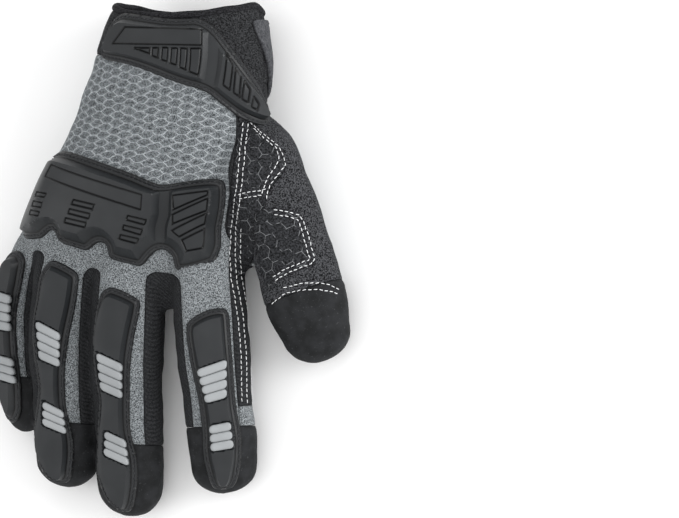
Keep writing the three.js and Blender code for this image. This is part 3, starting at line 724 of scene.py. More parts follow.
BACK_OUTLINE = [
    (-1.4, 0.16), (-0.74, 0.145), (-0.5, 0.09), (-0.26, 0.079), (0.34, 0.069), (0.6, 0.05),
    (0.88, 0.046), (0.85, 0.137), (0.88, 0.27), (0.86, 0.408), (0.83, 0.56), (0.83, 0.8),
    (0.83, 1.1), (-1.4, 1.1),
]
PALM_OUTLINE = [
    (-1.4, 0.16), (-0.74, 0.12), (-0.26, 0.05), (0.34, 0.05), (0.86, 0.07), (0.88, 0.3),
    (0.84, 0.56), (0.9, 0.74), (1.4, 0.76), (1.4, 1.1), (-1.4, 1.1),
]
CUFF_OUTLINE = [
    (-1.4, 0.85), (-0.32, 0.82), (0.3, 0.75), (0.75, 0.67), (1.0, 0.6), (1.4, 0.56), (1.4, 1.1),
    (-1.4, 1.1),
]
THUMB_OUTLINE = [
    (0.88, 0.12), (1.2, 0.06), (1.45, -0.06), (1.45, -0.5), (4, -0.5), (4, 0.8), (0.84, 0.8),
]
# The patch over the web of the thumb, right and up of the origin as the camera sees it.
WEB_PATCH = [
    (36.1, 66.5), (42.7, 62.7), (52, 56), (56.5, 50), (58.2, 44), (56.5, 40.4), (51.5, 35.5),
    (49, 31), (47.5, 26), (45, 19), (42.8, 10), (41.5, 0), (41.3, -7.5), (33, -7.5), (31, -2),
    (30, 9), (30.4, 22), (32, 39.5), (34.5, 56),
]
# The grey patch on the side of the index finger, seen the same way.
SIDE_PATCH = [(32, -69.4), (45.5, -68), (45.5, -79), (38.5, -79.3), (33.5, -78)]
# The grey strips on the backs of the fingers: shares of the half width, left and right.
STRIPS = {
    "index": (-STRIP, 0.58), "middle": (-0.66, 0.7), "ring": (-0.64, 0.68),
    "little": (-STRIP, STRIP),
}


def rim_dip(x, z):
    """How far the cuff's edge dips at shares of the half width and of the half depth."""
    return RIM_DIP * np.maximum(1 - np.abs(x) ** 2.2, 0.8 * smoothstep(0.5 * x - z, 0.3, 0.95))


def chart_shares(points):
    return {name: chart.shares(points) for name, chart in CHARTS.items()}


def cut_panels():
    """The soft form cut into its panels, in the order that the part cuts them."""
    edge = np.full((len(FORM_POINTS), 1), FAR_FROM_SEAM)
    rest = Skin(np.concatenate([FORM_POINTS, FORM_NORMALS, edge], 1), FORM_TRIS)
    panels = {}

    def near(shares, name):
        x, z, _, _, _ = shares[name]
        r = (np.abs(x) ** ROUNDNESS + np.abs(z) ** ROUNDNESS) ** (1 / ROUNDNESS)
        return (LIMB_REACH - r) * SHARE_MM

    def hand(shares, outline):
        x, _, v, _, _ = shares["palm"]
        return outline_depth(np.stack([x * PALM_WIDTH / 2, v], 1), outline)

    def height(shares, name="palm"):
        _, z, _, _, deep = shares[name]
        return z * deep

    def strip(shares, name, direction, left, right):
        x, _, v, wide, _ = shares[name]
        ends = np.minimum(v, STRIP_END * CHARTS[name].length - v)
        sides = np.minimum((x - left) * wide, (right - x) * wide)
        half = direction * height(shares, name)
        return np.minimum.reduce([sides, ends, half, near(shares, name)])

    def soft_union(fields, soft):
        """The biggest of the fields, with their inner corners rounded."""
        out = fields[0]
        for f in fields[1:]:
            h = np.clip(0.5 + 0.5 * (f - out) / soft, 0, 1)
            out = out * (1 - h) + f * h + soft * h * (1 - h)
        return out

    def seen(points, normals, outline):
        flat = np.stack([points @ VIEW_RIGHT, points @ VIEW_UP], 1)
        return np.minimum(outline_depth(flat, outline), (normals @ VIEW_BACK) * SHARE_MM)

    cuff, back = hand_outline(CUFF_OUTLINE), hand_outline(BACK_OUTLINE)
    palm, thumb = hand_outline(PALM_OUTLINE), hand_outline(THUMB_OUTLINE, 1)
    web, side_patch = rounded_line(WEB_PATCH), rounded_line(SIDE_PATCH, 1)

    def between(left, right):
        def field(s, p, n):
            out = np.full(len(p), 1e3)
            for name, sign in ((left, 1), (right, -1)):
                if name:
                    x, _, _, wide, _ = s[name]
                    out = np.minimum(out, sign * x * wide)
            return out
        return field

    def own(shares, name):
        """Over 0 where a finger is nearer than the others are."""
        others = [d for d in DIGITS if d != name]
        return np.minimum.reduce([near(shares, name) - near(shares, d) for d in others])

    regions = [(f"tip_{d}", lambda s, p, n, d=d: np.minimum.reduce([
        s[d][2] - TIP_START * CHARTS[d].length, near(s, d), own(s, d)])) for d in DIGITS]
    regions += [
        ("thumb_cap", lambda s, p, n: np.minimum(
            s["thumb"][2] - CAP_START * CHARTS["thumb"].length, near(s, "thumb"))),
        ("cuff", lambda s, p, n: np.minimum(hand(s, cuff), height(s))),
        ("back_panel", lambda s, p, n: soft_union(
            [np.minimum(hand(s, back), height(s))]
            + [strip(s, d, 1, *STRIPS[d]) for d in DIGITS], BACK_CORNER)),
        ("web_patch", lambda s, p, n: seen(p, n, web)),
        ("side_patch", lambda s, p, n: seen(p, n, side_patch)),
        ("thumb_front", lambda s, p, n: np.minimum.reduce([
            -THUMB_SEAM - height(s, "thumb"), hand(s, thumb),
            s["thumb"][2] - THUMB_FRONT_START])),
        ("thumb_back", lambda s, p, n: hand(s, thumb)),
        ("palm_panel", lambda s, p, n: soft_union(
            [np.minimum(hand(s, palm), PALM_EDGE - height(s))]
            + [strip(s, d, -1, -STRIP, STRIP) for d in DIGITS], PALM_CORNER)),
        ("fourchette_index_middle", between("middle", "index")),
        ("fourchette_middle_ring", between("ring", "middle")),
        ("fourchette_ring_little", between("little", "ring")),
        ("side_index", between("index", None)),
        ("side_little", lambda s, p, n: np.full(len(p), 5.0)),
    ]
    x, z, v, _, _ = CHARTS["palm"].shares(rest.points)
    rest, _ = clip(rest, PALM_LENGTH - rim_dip(x, z) - v)
    for name, region in regions:
        s = chart_shares(rest.points)
        taken, left = clip(rest, region(s, rest.points, rest.data[:, 3:6]))
        at, sizes = islands(taken)
        limit = max(60, sizes.max() * CRUMB)
        big = (sizes >= limit)[at]
        crumbs = Skin(taken.data, taken.tris[~big]) if (~big).any() and left is not None else None
        panels[name] = Skin(taken.data, taken.tris[big] if left is not None else taken.tris)
        rest = joined([left, crumbs]) if left is not None else None
    return panels


def boundary(tris):
    """The outer edges of a mesh, in the direction of their triangles."""
    pairs = edge_pairs(tris)
    key = np.sort(pairs, 1)
    _, first, count = np.unique(key, axis=0, return_index=True, return_counts=True)
    return pairs[first[count == 1]]


def walled(top, bottom, tris):
    """A closed mesh between an outer and an inner surface of the same triangles."""
    n = len(top)
    edge = boundary(tris)
    a, b = edge[:, 0], edge[:, 1]
    sides = np.concatenate([np.stack([b, a, a + n], 1), np.stack([b, a + n, b + n], 1)])
    return np.concatenate([top, bottom]), np.concatenate([tris, tris[:, ::-1] + n, sides])


def fabric_wall(skin):
    """A panel with its edges turned in and a wall inside."""
    p, n, edge = skin.data[:, :3], skin.data[:, 3:6], skin.data[:, 6]
    n = unit(n)
    dip = SEAM_DIP * np.exp(-((edge / 0.9) ** 1.3))
    top = p - n * dip[:, None]
    return walled(top, p - n * WALL, skin.tris)


# Pieces raised from the form.
EDGE_ROUND = 0.6


def rounded_edge(d, radius=EDGE_ROUND):
    """The fall of a surface towards its rounded edge."""
    near = np.clip(d, 0, radius)
    return np.sqrt(np.maximum(radius**2 - (radius - near) ** 2, 0)) - radius


def chart_mesh(outline, step, levels=(), lines=()):
    """Triangles over an outline, with points drawn onto depths inside it and along lines."""
    outline = resample(outline, step)
    low, high = outline.min(0), outline.max(0)
    rise = step * math.sqrt(3) / 2
    grid = []
    for i, y in enumerate(np.arange(low[1], high[1], rise)):
        x = np.arange(low[0] + (i % 2) * step / 2, high[0], step)
        grid.append(np.stack([x, np.full(len(x), y)], 1))
    grid = np.concatenate(grid)
    grid = grid[is_inside(grid, outline)]
    d, foot = line_distance(grid, outline)
    keep = d > 0.45 * step
    grid, d, foot = grid[keep], d[keep], foot[keep]
    for level in levels:
        near = np.abs(d - level) < 0.5 * step
        away = (grid[near] - foot[near]) / d[near, None]
        grid[near] = foot[near] + away * level
        d[near] = level
    extra = []
    for line in lines:
        line = resample(line, step * 0.8)
        line = line[outline_depth(line, outline) > 0.3]
        if len(line) < 3:
            continue
        gap, _ = line_distance(grid, line)
        grid = grid[gap > 0.42 * step]
        extra.append(line)
    points = np.concatenate([outline, grid, *extra])
    n = len(outline)
    out = delaunay_2d_cdt([Vector(p) for p in points.tolist()], [], [list(range(n))], 1, 1e-4)
    flat = np.array([v[:] for v in out[0]])
    tris = np.array([f for f in out[2] if len(f) == 3])
    a, b, c = flat[tris[:, 0]], flat[tris[:, 1]], flat[tris[:, 2]]
    area = (b[:, 0] - a[:, 0]) * (c[:, 1] - a[:, 1]) - (b[:, 1] - a[:, 1]) * (c[:, 0] - a[:, 0])
    tris = tris[np.abs(area) > 1e-7]
    area = area[np.abs(area) > 1e-7]
    tris[area < 0] = tris[area < 0][:, ::-1]
    used, at = np.unique(tris, return_inverse=True)
    return flat[used], at.reshape(-1, 3), outline


def settle_on_form(chart, flat, tris, times):
    """Smooth points on the form under a chart's places, and the directions out of it."""
    p, n = chart.place(flat[:, 0], flat[:, 1])
    away = -reach_form(p, n)
    missing = np.isnan(away)
    if missing.any():
        known = flat[~missing]
        for i in np.where(missing)[0]:
            away[i] = away[~missing][np.argmin(((known - flat[i]) ** 2).sum(1))]
    away = smoothed(away, tris, len(flat), times)
    return p - n * away[:, None], n


def facing_out(points, tris, normals):
    """The triangles turned to face along the normals."""
    if (face_ways(points, tris) * normals[tris[:, 0]]).sum() < 0:
        return tris[:, ::-1]
    return tris


def relief(chart, outline, height, step, levels=(), lines=(), base=0.0, settle=12, painted_shade=None):
    """A closed form over an outline on a chart: its points, triangles, map and painted shade, the
    dark lines drawn in its grooves and creases.
    """
    chart = CHARTS[chart]
    flat, tris, outline = chart_mesh(outline, step, levels, lines)
    ground, n = settle_on_form(chart, flat, tris, settle)
    d, _ = line_distance(flat, outline)
    top = ground + n * height(flat, d)[:, None]
    bottom = ground + n * base
    top[:, 2] = np.maximum(top[:, 2], 0.02)
    bottom[:, 2] = np.maximum(bottom[:, 2], 0.3)
    tris = facing_out(top, tris, n)
    points, faces = walled(top, bottom, tris)
    # painted shade: how dark each point's grooves and creases are drawn
    dark = painted_shade(flat, d) if painted_shade else np.zeros(len(flat))
    extra = np.concatenate([flat, dark[:, None]], 1)
    return points, faces, np.concatenate([extra, extra])


def merged(parts):
    base, points, faces, extra = 0, [], [], []
    for p, f, m in parts:
        points.append(p)
        faces.append(f + base)
        extra.append(m)
        base += len(p)
    return np.concatenate(points), np.concatenate(faces), np.concatenate(extra)


def relief_piece(name, parts, material, nodes, sharp=None):
    points, faces, extra = merged(parts)
    obj = make_object(name, points, faces, material)
    write_uv(obj, extra[:, :2])
    # The "line" attribute holds painted shade for the rubber's grooves and creases.
    lines = obj.data.attributes.new("line", "FLOAT", "POINT")
    lines.data.foreach_set("value", extra[:, 2].astype(np.float32))
    if sharp:
        obj.data.set_sharp_from_angle(angle=math.radians(sharp))
    return keep_piece(obj, nodes)


GROOVE = 0.5  # half the width of an engraved line
GROOVE_DEPTH = 0.75


def grooves(flat, quads):
    """1 on the outlines of small plates, 0 away from them."""
    out = np.zeros(len(flat))
    for quad in quads:
        d, _ = line_distance(flat, np.array(quad))
        out = np.maximum(out, 1 - smoothstep(d, GROOVE * 0.4, GROOVE * 1.25))
    return out


def engraved(flat, quads, floor=0.3):
    """Grooves along the outlines of small plates, which lie a little deeper themselves."""
    inside = np.zeros(len(flat), bool)
    for quad in quads:
        inside |= is_inside(flat, quad)
    return np.maximum(grooves(flat, quads) * GROOVE_DEPTH, inside * floor)


def groove_lines(quads):
    """Lines of points that a groove's shape needs."""
    out = []
    for quad in quads:
        quad = resample(quad, 0.7)
        edge = turn_sign(quad) * GROOVE * 1.25
        out += [quad, shifted(quad, edge, True), shifted(quad, -edge, True)]
    return out


KNUCKLE_GUARD = [
    (-68, 47), (-65, 57), (-59, 64.5), (-50, 66.6), (-42.8, 66.4), (-30.2, 63.8),
    (-14.4, 59.7), (0.2, 55.7), (14.6, 50.6), (19.7, 50.3), (30, 52.3), (42.3, 53.5), (46.4, 52.2),
    (48.5, 49.4), (50.8, 38.8), (49.3, 22.7), (46.7, 15.7), (44.8, 13.1), (30.1, 9.3), (26.9, 11.2),
    (26.1, 15.7), (23.8, 18.8), (20.4, 20.2), (17.2, 19.5), (13.7, 16.9), (9.9, 12), (6.1, 12.3),
    (-7.6, 15.5), (-7.6, 21.2), (-10.3, 23.8), (-14.3, 22.9), (-19.2, 19.3), (-21.7, 20),
    (-35.1, 23.5), (-35.9, 28.3), (-38.1, 29.7), (-42.1, 27.5), (-45.8, 25), (-60, 25),
    (-68.5, 27),
]
KNUCKLE_PLATE = [(-44.5, 60.1), (10.8, 45.7), (11.9, 38.7), (-45.3, 54.6)]
KNUCKLE_SLOTS = [
    [(-48, 47.3), (-40.7, 46.4), (-41.3, 44.7), (-48.2, 45.4)],
    [(-48.6, 43), (-41.7, 42.1), (-42, 39.9), (-48.8, 40.6)],
    [(-49.2, 38.7), (-42.3, 37.8), (-42.8, 35.9), (-49.6, 36.6)],
    [(-24, 43.5), (-12.3, 41.1), (-12.7, 39), (-24.6, 41.4)],
    [(-25.1, 39.2), (-13.5, 36.8), (-13.9, 34.5), (-25.5, 37.1)],
    [(-26.5, 34.9), (-15, 32.6), (-15.6, 30.4), (-27, 32.8)],
    [(5.9, 35.9), (15.5, 33.8), (14.8, 31.6), (5.4, 34)],
    [(4.5, 31.4), (13.8, 29.3), (12.4, 26.9), (3.7, 29.5)],
    [(2.2, 26.9), (11.1, 25), (9.7, 22.8), (1, 25)],
    [(25.6, 45.4), (40.9, 47.5), (41.2, 45.6), (27.6, 38.8)],
    [(27.6, 36.4), (41.8, 44), (42.5, 38.3), (28.2, 32.1)],
    [(27.8, 28.8), (42.7, 36.9), (42.7, 32.1), (30.7, 25.9)],
    [(31.8, 24.3), (42.9, 29.7), (41.1, 20.7), (33.7, 19.3)],
]
KNUCKLE_VALLEY = [(15.6, 56), (19.8, 50), (22.3, 36.4), (19.9, 22), (19.5, 14)]
WRIST_GUARD = [
    (-34.5, 112.4), (-36.8, 115.3), (-30.4, 128.1), (-25.9, 130.4), (-22.7, 131.7), (-8.1, 129.7),
    (5.8, 128), (22.1, 129), (37.9, 109.5), (58.8, 89.9), (62.6, 84.0), (60.0, 79.3),
    (55.6, 77.6), (44.1, 81.3), (35.6, 87.3), (25.8, 94.9), (13.2, 97.6), (-13.9, 107.1),
    (-34.3, 109.9),
]
WRIST_PLATE = [(-18.7, 124.7), (20, 123.3), (20.6, 115.9), (-25, 117.1)]
WRIST_SLOTS = [
    [(-12.4, 114.8), (-4.5, 114.7), (-4.3, 112.1)],
    [(-3, 114.7), (0, 114.8), (0, 110.2), (-2.9, 111.2)],
    [(2, 114.8), (4.8, 114.8), (5.1, 108.3), (2.1, 109.3)],
    [(6.6, 114.5), (9.5, 114.5), (9.8, 106.7), (6.9, 107.6)],
    [(11, 114.5), (14.1, 114.3), (14.6, 104.5), (11.7, 105.7)],
    [(15.7, 114.3), (20.5, 114.3), (21.2, 101.9), (16.7, 103.6)],
    [(32, 111.9), (35.3, 107.1), (36.9, 94.8), (33.5, 97.2)],
    [(36.9, 105.3), (40.2, 101), (41.7, 91.7), (38.9, 93.4)],
    [(42.2, 99.1), (45.6, 94.8), (45.6, 88.9), (42.9, 90.5)],
    [(47.6, 91.9), (50.6, 88.1), (49.9, 85.5), (47.3, 87)],
]
WRIST_VALLEY = [(24.6, 131), (26.1, 111), (27.3, 92)]
VALLEY_FLOOR = 2.3  # half the width of a valley's flat floor
FINGER_GUARDS = {
    "index": [
        (-12.1, 47.7), (-11.8, 42.5), (-10.3, 40.2), (-4.5, 36.6), (1.1, 34.9), (5.7, 34.8),
        (7.9, 36), (8.6, 39.9), (8.6, 48), (8.8, 59.8), (8.2, 72.2), (8.3, 82.6), (9.3, 93.1),
        (9, 101.2), (7.9, 108.3), (6.7, 113.5), (5.2, 117.9), (2.4, 121.5), (-4.4, 121.1),
        (-6.2, 118), (-7.6, 113.1), (-9, 107.7), (-9.3, 101), (-8.5, 92.5), (-8.6, 84),
        (-9.5, 72.5), (-10.4, 63.9), (-11.5, 54.4),
    ],
    "middle": [
        (-12.3, 37.8), (-9.9, 30), (-8.3, 27.1), (-5.4, 25.2), (-2.7, 24.8), (4.5, 27.2),
        (9.7, 29.8), (10.6, 31.6), (10.2, 36.4), (8.7, 43.9), (7.5, 52.8), (6.7, 60.4),
        (6.2, 67.9), (5.9, 74.7), (5.1, 82.2), (5.1, 90.9), (6.2, 98.5), (7.5, 103.6),
        (8.1, 109.2), (7.5, 117.4), (6.7, 123.8), (5.1, 129.4), (2, 133.3), (-2, 132.5),
        (-5.1, 129.6), (-8.6, 126.1), (-11, 121.7), (-12.8, 116.3), (-13.3, 109.2),
        (-13.1, 102.3), (-12.2, 92), (-11, 83.2), (-10.5, 77.2), (-12, 65.6), (-13.5, 55.5),
        (-13.4, 45.9),
    ],
    "ring": [
        (-10.2, 21.5), (-8.8, 16.6), (-6.5, 13.2), (-4.1, 12), (1.2, 13.6), (7.8, 16.6),
        (9.7, 19.2), (9.8, 25.4), (9.2, 33.6), (7.6, 44), (6.3, 52.9), (5.3, 61), (4.6, 68),
        (4.2, 75.4), (4.5, 82.3), (5.9, 89), (7, 94.2), (7.4, 99.7), (6.8, 107.4), (5.9, 114.9),
        (3, 118.8), (-1.9, 119.7), (-6.5, 116.6), (-10.1, 112.7), (-13, 107.6), (-14.1, 100.7),
        (-13.3, 92.5), (-11.2, 83.6), (-9.8, 74), (-9.9, 68), (-10.9, 59), (-12.2, 50.3),
        (-12, 38.6), (-10.8, 29.8),
    ],
    "little": [
        (2, 17), (5, 19.5), (6.6, 22.4), (7.5, 31.6), (7.2, 36.5), (6.6, 44.7), (6, 54),
        (5.8, 63.6), (6, 67.6), (6.5, 74.3), (6.5, 80.9), (6, 87), (5, 93.9), (2, 98), (-2, 99),
        (-5.5, 96), (-8, 91), (-8.6, 84), (-8, 74), (-7.6, 64), (-8.2, 54), (-9, 44),
        (-9.2, 34), (-8.6, 24), (-6, 18.5), (-2, 16.5),
    ],
}
# Corners of the ribs: the two ends of the first bar, then of the last, thumb side second.
RIBS = {
    "index": (
        [(-7.1, 63.3), (5.5, 58.9), (3.8, 77.1), (-5.2, 79.5)],
        [(-4.6, 90), (4.4, 88.3), (4.8, 100.9), (-4.8, 102.3)],
    ),
    "middle": (
        [(-7.8, 56), (3.9, 60.8), (3, 77.5), (-6.2, 73.7)],
        [(-5.4, 93), (3.7, 96.8), (4.7, 109.2), (-6.3, 104.7)],
    ),
    "ring": (
        [(-7.2, 41.3), (3.7, 46.3), (3.4, 62.7), (-5.6, 59.3)],
        [(-4.9, 79.3), (4, 83.3), (4.9, 94.5), (-5.4, 90.9)],
    ),
    "little": (
        [(-6.5, 36.5), (5, 38), (5.5, 55.1), (-6.5, 54.8)],
        [(-6, 66.7), (5.5, 68), (6, 79.8), (-6, 78.3)],
    ),
}
RIB_BARS = (4, 3)
SHARP = 20  # degrees, over which a moulded edge stays crisp
FLANGE = 1.5  # the height of a guard's sewn border
FLANGE_WIDTH = 2.8
SEWN = 1.5  # in from the outline, where a guard is sewn on
BODY_EDGE = 4.5  # in from the outline, where a guard's body is at its full height
CHAMFER_EDGE = 7.4  # the same where its chamfer is wide
KNUCKLE_RISE = 4.7  # above the border
WRIST_RISE = 4.1  # above the form, as the next
FINGER_RISE = 4.3
RIB_FLOOR = 3.0
RIB_BASE = 3.05
RIB_TOP = 5.3


def block_height(d, rise):
    """A guard's sewn border and its raised body."""
    ramp = np.clip((d - FLANGE_WIDTH) / (BODY_EDGE - FLANGE_WIDTH), 0, 1)
    return FLANGE + rounded_edge(d) + (rise - FLANGE) * ramp - sewn_groove(d)


def sewn_groove(d):
    """The depth of the groove that a guard's stitches lie in."""
    return 0.35 * np.exp(-(((d - SEWN) / 0.4) ** 2))


def flange_lines(outline):
    """Lines of points that the sewn border of a guard needs."""
    outline = rounded_line(outline, 2)
    return [inside_outline(outline, place + k * 0.38)
            for place in (SEWN, FLANGE_WIDTH) for k in (-1, 0, 1)]


def valley_lines(line, rise):
    """Lines of points along the folds of a valley."""
    line = resample(line, 1.0, closed=False)
    return [shifted(line, side * far)
            for far in (VALLEY_FLOOR, VALLEY_FLOOR + rise) for side in (1, -1)]


def with_valley(h, flat, d, line, floor, slope):
    """A guard's height with a valley pressed in along a line, inside its sewn border."""
    away, _ = line_distance(flat, line, closed=False)
    gap = floor + np.maximum(away - VALLEY_FLOOR, 0) * slope
    return np.where(d > FLANGE_WIDTH, np.minimum(h, gap), h)


def knuckle_height(flat, d):
    """Lower towards the little finger's side, with a wide chamfer at both ends."""
    low = smoothstep(-flat[:, 1], -46, -27)
    wide = np.maximum(low * smoothstep(flat[:, 0], -58, -50), smoothstep(flat[:, 0], 40, 45))
    edge = BODY_EDGE + (CHAMFER_EDGE - BODY_EDGE) * wide
    ramp = np.clip((d - FLANGE_WIDTH) / (edge - FLANGE_WIDTH), 0, 1)
    side = smoothstep(-flat[:, 0], 44, 60)
    body = KNUCKLE_RISE - (4.0 - 1.5 * low) * side
    h = FLANGE + rounded_edge(d) + body * ramp - sewn_groove(d)
    h = with_valley(h, flat, d, KNUCKLE_VALLEY, 2.3, 1.6)
    h = h + 0.3 * np.cos(flat[:, 0] / 62 * math.pi)
    return h - np.maximum(engraved(flat, KNUCKLE_SLOTS), engraved(flat, [KNUCKLE_PLATE], 0.45))


def wrist_height(flat, d):
    h = with_valley(block_height(d, WRIST_RISE), flat, d, WRIST_VALLEY, 2.2, 0.9)
    return h - np.maximum(engraved(flat, WRIST_SLOTS), engraved(flat, [WRIST_PLATE], 0.45))


def finger_height(name):
    def height(flat, d):
        h = block_height(d, FINGER_RISE)
        crown = flat[:, 0] ** 2 / LIMBS[name]["width"] * 0.55
        h = h + crown * smoothstep(d, 2.5, 5.5)
        for quad in RIBS[name]:
            inside = outline_depth(flat, quad)
            pocket = RIB_FLOOR + np.maximum(-inside, 0) * 4
            h = np.where(inside > -0.35, np.minimum(h, pocket), h)
        return h
    return height


def flange_painted_shade(flat, d):
    """Painted shade: how dark the guard's outer edge, its sewn groove and the foot of its bevel are
    drawn.
    """
    lines = ((0, 0.75, 0.5), (SEWN, 0.5, 0.36), (FLANGE_WIDTH, 0.75, 0.4))
    return np.maximum.reduce([
        dark * np.exp(-(((d - place) / wide) ** 2)) for place, dark, wide in lines])


def rib_bars(name, quad, bars):
    """The bars of one stretch of ribs, each with round ends."""
    a, b, c, d = (np.array(p, float) for p in quad)
    parts = []
    for i in range(bars):
        low, high = (i + 0.015) / bars, (i + 0.985) / bars
        corners = [a + (d - a) * low, b + (c - b) * low, b + (c - b) * high, a + (d - a) * high]
        outline = rounded_corners(corners, 1.0)

        def height(flat, depth):
            crown = flat[:, 0] ** 2 / LIMBS[name]["width"] * 0.4
            return RIB_TOP + rounded_edge(depth, 0.7) + crown

        parts.append(relief(name, outline, height, 0.62, (0.35, 0.7), base=RIB_BASE, settle=3))
    return parts


def add_guard(m, name, chart, outline, height, step, levels, lines, painted_shade, settle):
    part = relief(
        chart, rounded_line(outline, 2), height, step, (EDGE_ROUND, BODY_EDGE, *levels),
        flange_lines(outline) + lines, settle=settle, painted_shade=painted_shade)
    relief_piece(name, [part], m["rubber"], [name], SHARP)


def add_engraved_guard(m, name, outline, height, levels, quads, valley, settle):
    """A guard on the back of the hand, with plates, slots and a valley."""

    # Painted shade in the grooves round the plates and slots, and along the sewn border.
    def painted_shade(flat, d):
        return np.maximum(grooves(flat, quads), flange_painted_shade(flat, d))

    lines = groove_lines(quads) + valley_lines(*valley)
    add_guard(m, name, "palm", outline, height, 0.95, levels, lines, painted_shade, settle)


def add_guards(m):
    add_engraved_guard(
        m, "knuckle_guard", KNUCKLE_GUARD, knuckle_height, (CHAMFER_EDGE,),
        [KNUCKLE_PLATE, *KNUCKLE_SLOTS], (KNUCKLE_VALLEY, 2.4), 80)
    add_engraved_guard(
        m, "wrist_guard", WRIST_GUARD, wrist_height, (), [WRIST_PLATE, *WRIST_SLOTS],
        (WRIST_VALLEY, 2.1), 40)
    for name in DIGITS:
        lines = [resample(q, 0.7) for q in RIBS[name]]
        add_guard(m, f"guard_{name}", name, FINGER_GUARDS[name], finger_height(name), 0.85, (),
                  lines, flange_painted_shade, 12)
        for place, quad, bars in zip(("upper", "lower"), RIBS[name], RIB_BARS):
            relief_piece(f"ribs_{name}_{place}", rib_bars(name, quad, bars), m["rib"],
                         [f"ribs_{name}_{place}"])


# The palm's pads: shares of the half width and of the length, on the front.
PADS = {
    "pad_knuckles": [
        (0.78, 0.2), (0.84, 0.03), (0.62, -0.02), (0.26, 0.0), (0.2, -0.055), (0.02, -0.055),
        (-0.18, 0.005), (-0.4, -0.04), (-0.54, -0.03), (-0.62, 0.05), (-0.84, 0.04),
        (-0.93, 0.07), (-0.92, 0.27), (-0.2, 0.21), (0.3, 0.19),
    ],
    "pad_heel": [
        (0.53, 0.21), (-0.2, 0.25), (-0.78, 0.32), (-0.9, 0.36), (-0.92, 0.52), (-0.78, 0.7),
        (-0.42, 0.72), (-0.26, 0.64), (-0.05, 0.44), (0.2, 0.3),
    ],
    "pad_thenar": [
        (0.62, 0.28), (0.4, 0.28), (0.0, 0.46), (-0.16, 0.68), (-0.05, 0.69), (0.3, 0.66),
        (0.62, 0.5),
    ],
}
FRONT_PATCHES = {
    "index": (0.34, 0.6), "middle": (0.4, 0.62), "ring": (0.4, 0.62), "little": (0.36, 0.58),
}
THUMB_PATCH = [
    (-2.4, 49.2), (12.3, 56.7), (13.2, 62.3), (13, 72.1), (13.2, 82.4), (3, 82.5), (-6.6, 83.4),
    (-13.5, 86.7), (-16, 80), (-15.5, 66), (-10, 52),
]
PAD_ROWS = (1.6, 3.4)  # the two rows of stitches, in from the edge


def front_outline(chart, rows, scale, times=2):
    rows = resample(rounded_line(rows, times), 0.02)
    v = rows[:, 1] * scale
    return np.stack([CHARTS[chart].around_front(rows[:, 0], v), v], 1)


def pad_outlines():
    """The palm's pads and the fingers' patches: name, chart and outline."""
    out = [(name, "palm", front_outline("palm", rows, PALM_LENGTH)) for name, rows in PADS.items()]
    for name, (low, high) in FRONT_PATCHES.items():
        rows = [(-STRIP, low), (STRIP, low), (STRIP, high), (-STRIP, high)]
        out.append((f"patch_{name}", name, front_outline(name, rows, CHARTS[name].length, 1)))
    return out


def pad_height(puff):
    def height(flat, d):
        channel = sum(0.3 * np.exp(-(((d - row) / 0.7) ** 2)) for row in PAD_ROWS)
        return 1.3 + rounded_edge(d) + puff * smoothstep(d, 2.5, 11) - channel
    return height


def add_pads(m):
    for name, chart, outline in pad_outlines():
        puff, step = (1.3, 1.3) if chart == "palm" else (0.3, 1.2)
        pad = relief_piece(name, [relief(chart, outline, pad_height(puff), step)], m["print"],
                           [name])
    relief_piece("patch_thumb", [relief(
        "thumb", rounded_line(THUMB_PATCH, 1), lambda flat, d: 0.75 + rounded_edge(d, 0.4), 1.2)],
        m["print"], ["patch_thumb"])


# The strap and its tab: degrees below the thumb side, and from and to along the palm.
STRAP_WRAP = [
    (-17, 0.935, 0.952), (-8, 0.87, 0.956), (4, 0.79, 0.956), (14, 0.735, 0.955),
    (24, 0.695, 0.953), (34, 0.675, 0.952), (55, 0.715, 0.95), (90, 0.765, 0.95),
    (125, 0.785, 0.945), (150, 0.81, 0.93),
]
STRAP_GROOVE = 2.2  # in from the strap's edge, where it is sewn
TAB_WRAP = [
    (46, 0.745, 0.945), (70, 0.757, 0.95), (90, 0.768, 0.95), (125, 0.788, 0.94),
    (150, 0.815, 0.925), (166, 0.85, 0.885),
]


def wrap_outline(rows):
    rows = np.array(rows, float)
    turn = np.radians(rows[:, 0])
    angle = np.arctan2(
        signed_power(np.cos(turn), ROUNDNESS / 2), -signed_power(np.sin(turn), ROUNDNESS / 2))
    angle = np.where(angle < 0, angle + 2 * math.pi, angle)
    edges = []
    for column in (1, 2):
        v = rows[:, column] * PALM_LENGTH
        edges.append(np.stack([CHARTS["palm"].arc(angle, v), v], 1))
    return np.concatenate([edges[0], edges[1][::-1]])


def tab_height(flat, d):
    outline = wrap_outline(TAB_WRAP)
    half = len(outline) // 2
    low = np.interp(flat[:, 0], outline[:half, 0], outline[:half, 1])
    high = np.interp(flat[:, 0], outline[half:, 0][::-1], outline[half:, 1][::-1])
    share = (flat[:, 1] - low) / np.maximum(high - low, 1)
    lines = 0.5 + 0.5 * np.cos(share * 2 * math.pi * 5)
    grip = 0.7 * smoothstep(lines, 0.55, 0.9) * smoothstep(d, 2.2, 3.4)
    return 4.5 + rounded_edge(d, 0.8) - grip + 0.3 * smoothstep(d, 2.4, 3.6)


def strap_height(flat, d):
    return 2.1 + rounded_edge(d, 0.5) - 0.3 * np.exp(-(((d - STRAP_GROOVE) / 0.5) ** 2))


def add_strap(m):
    relief_piece("wrist_strap", [relief(
        "palm", rounded_line(wrap_outline(STRAP_WRAP), 1), strap_height, 1.2, (STRAP_GROOVE,),
        settle=20)], m["strap"], ["wrist_strap"])
    relief_piece("strap_tab", [relief(
        "palm", rounded_line(wrap_outline(TAB_WRAP), 1), tab_height, 1.0, (0.8, 2.4), base=2.3,
        settle=20)], m["rubber"], ["strap_tab"], 42)


BINDING_OUT = 0.8
BINDING_SIZE = (1.5, 1.7)  # half sizes, through the wall and along the palm


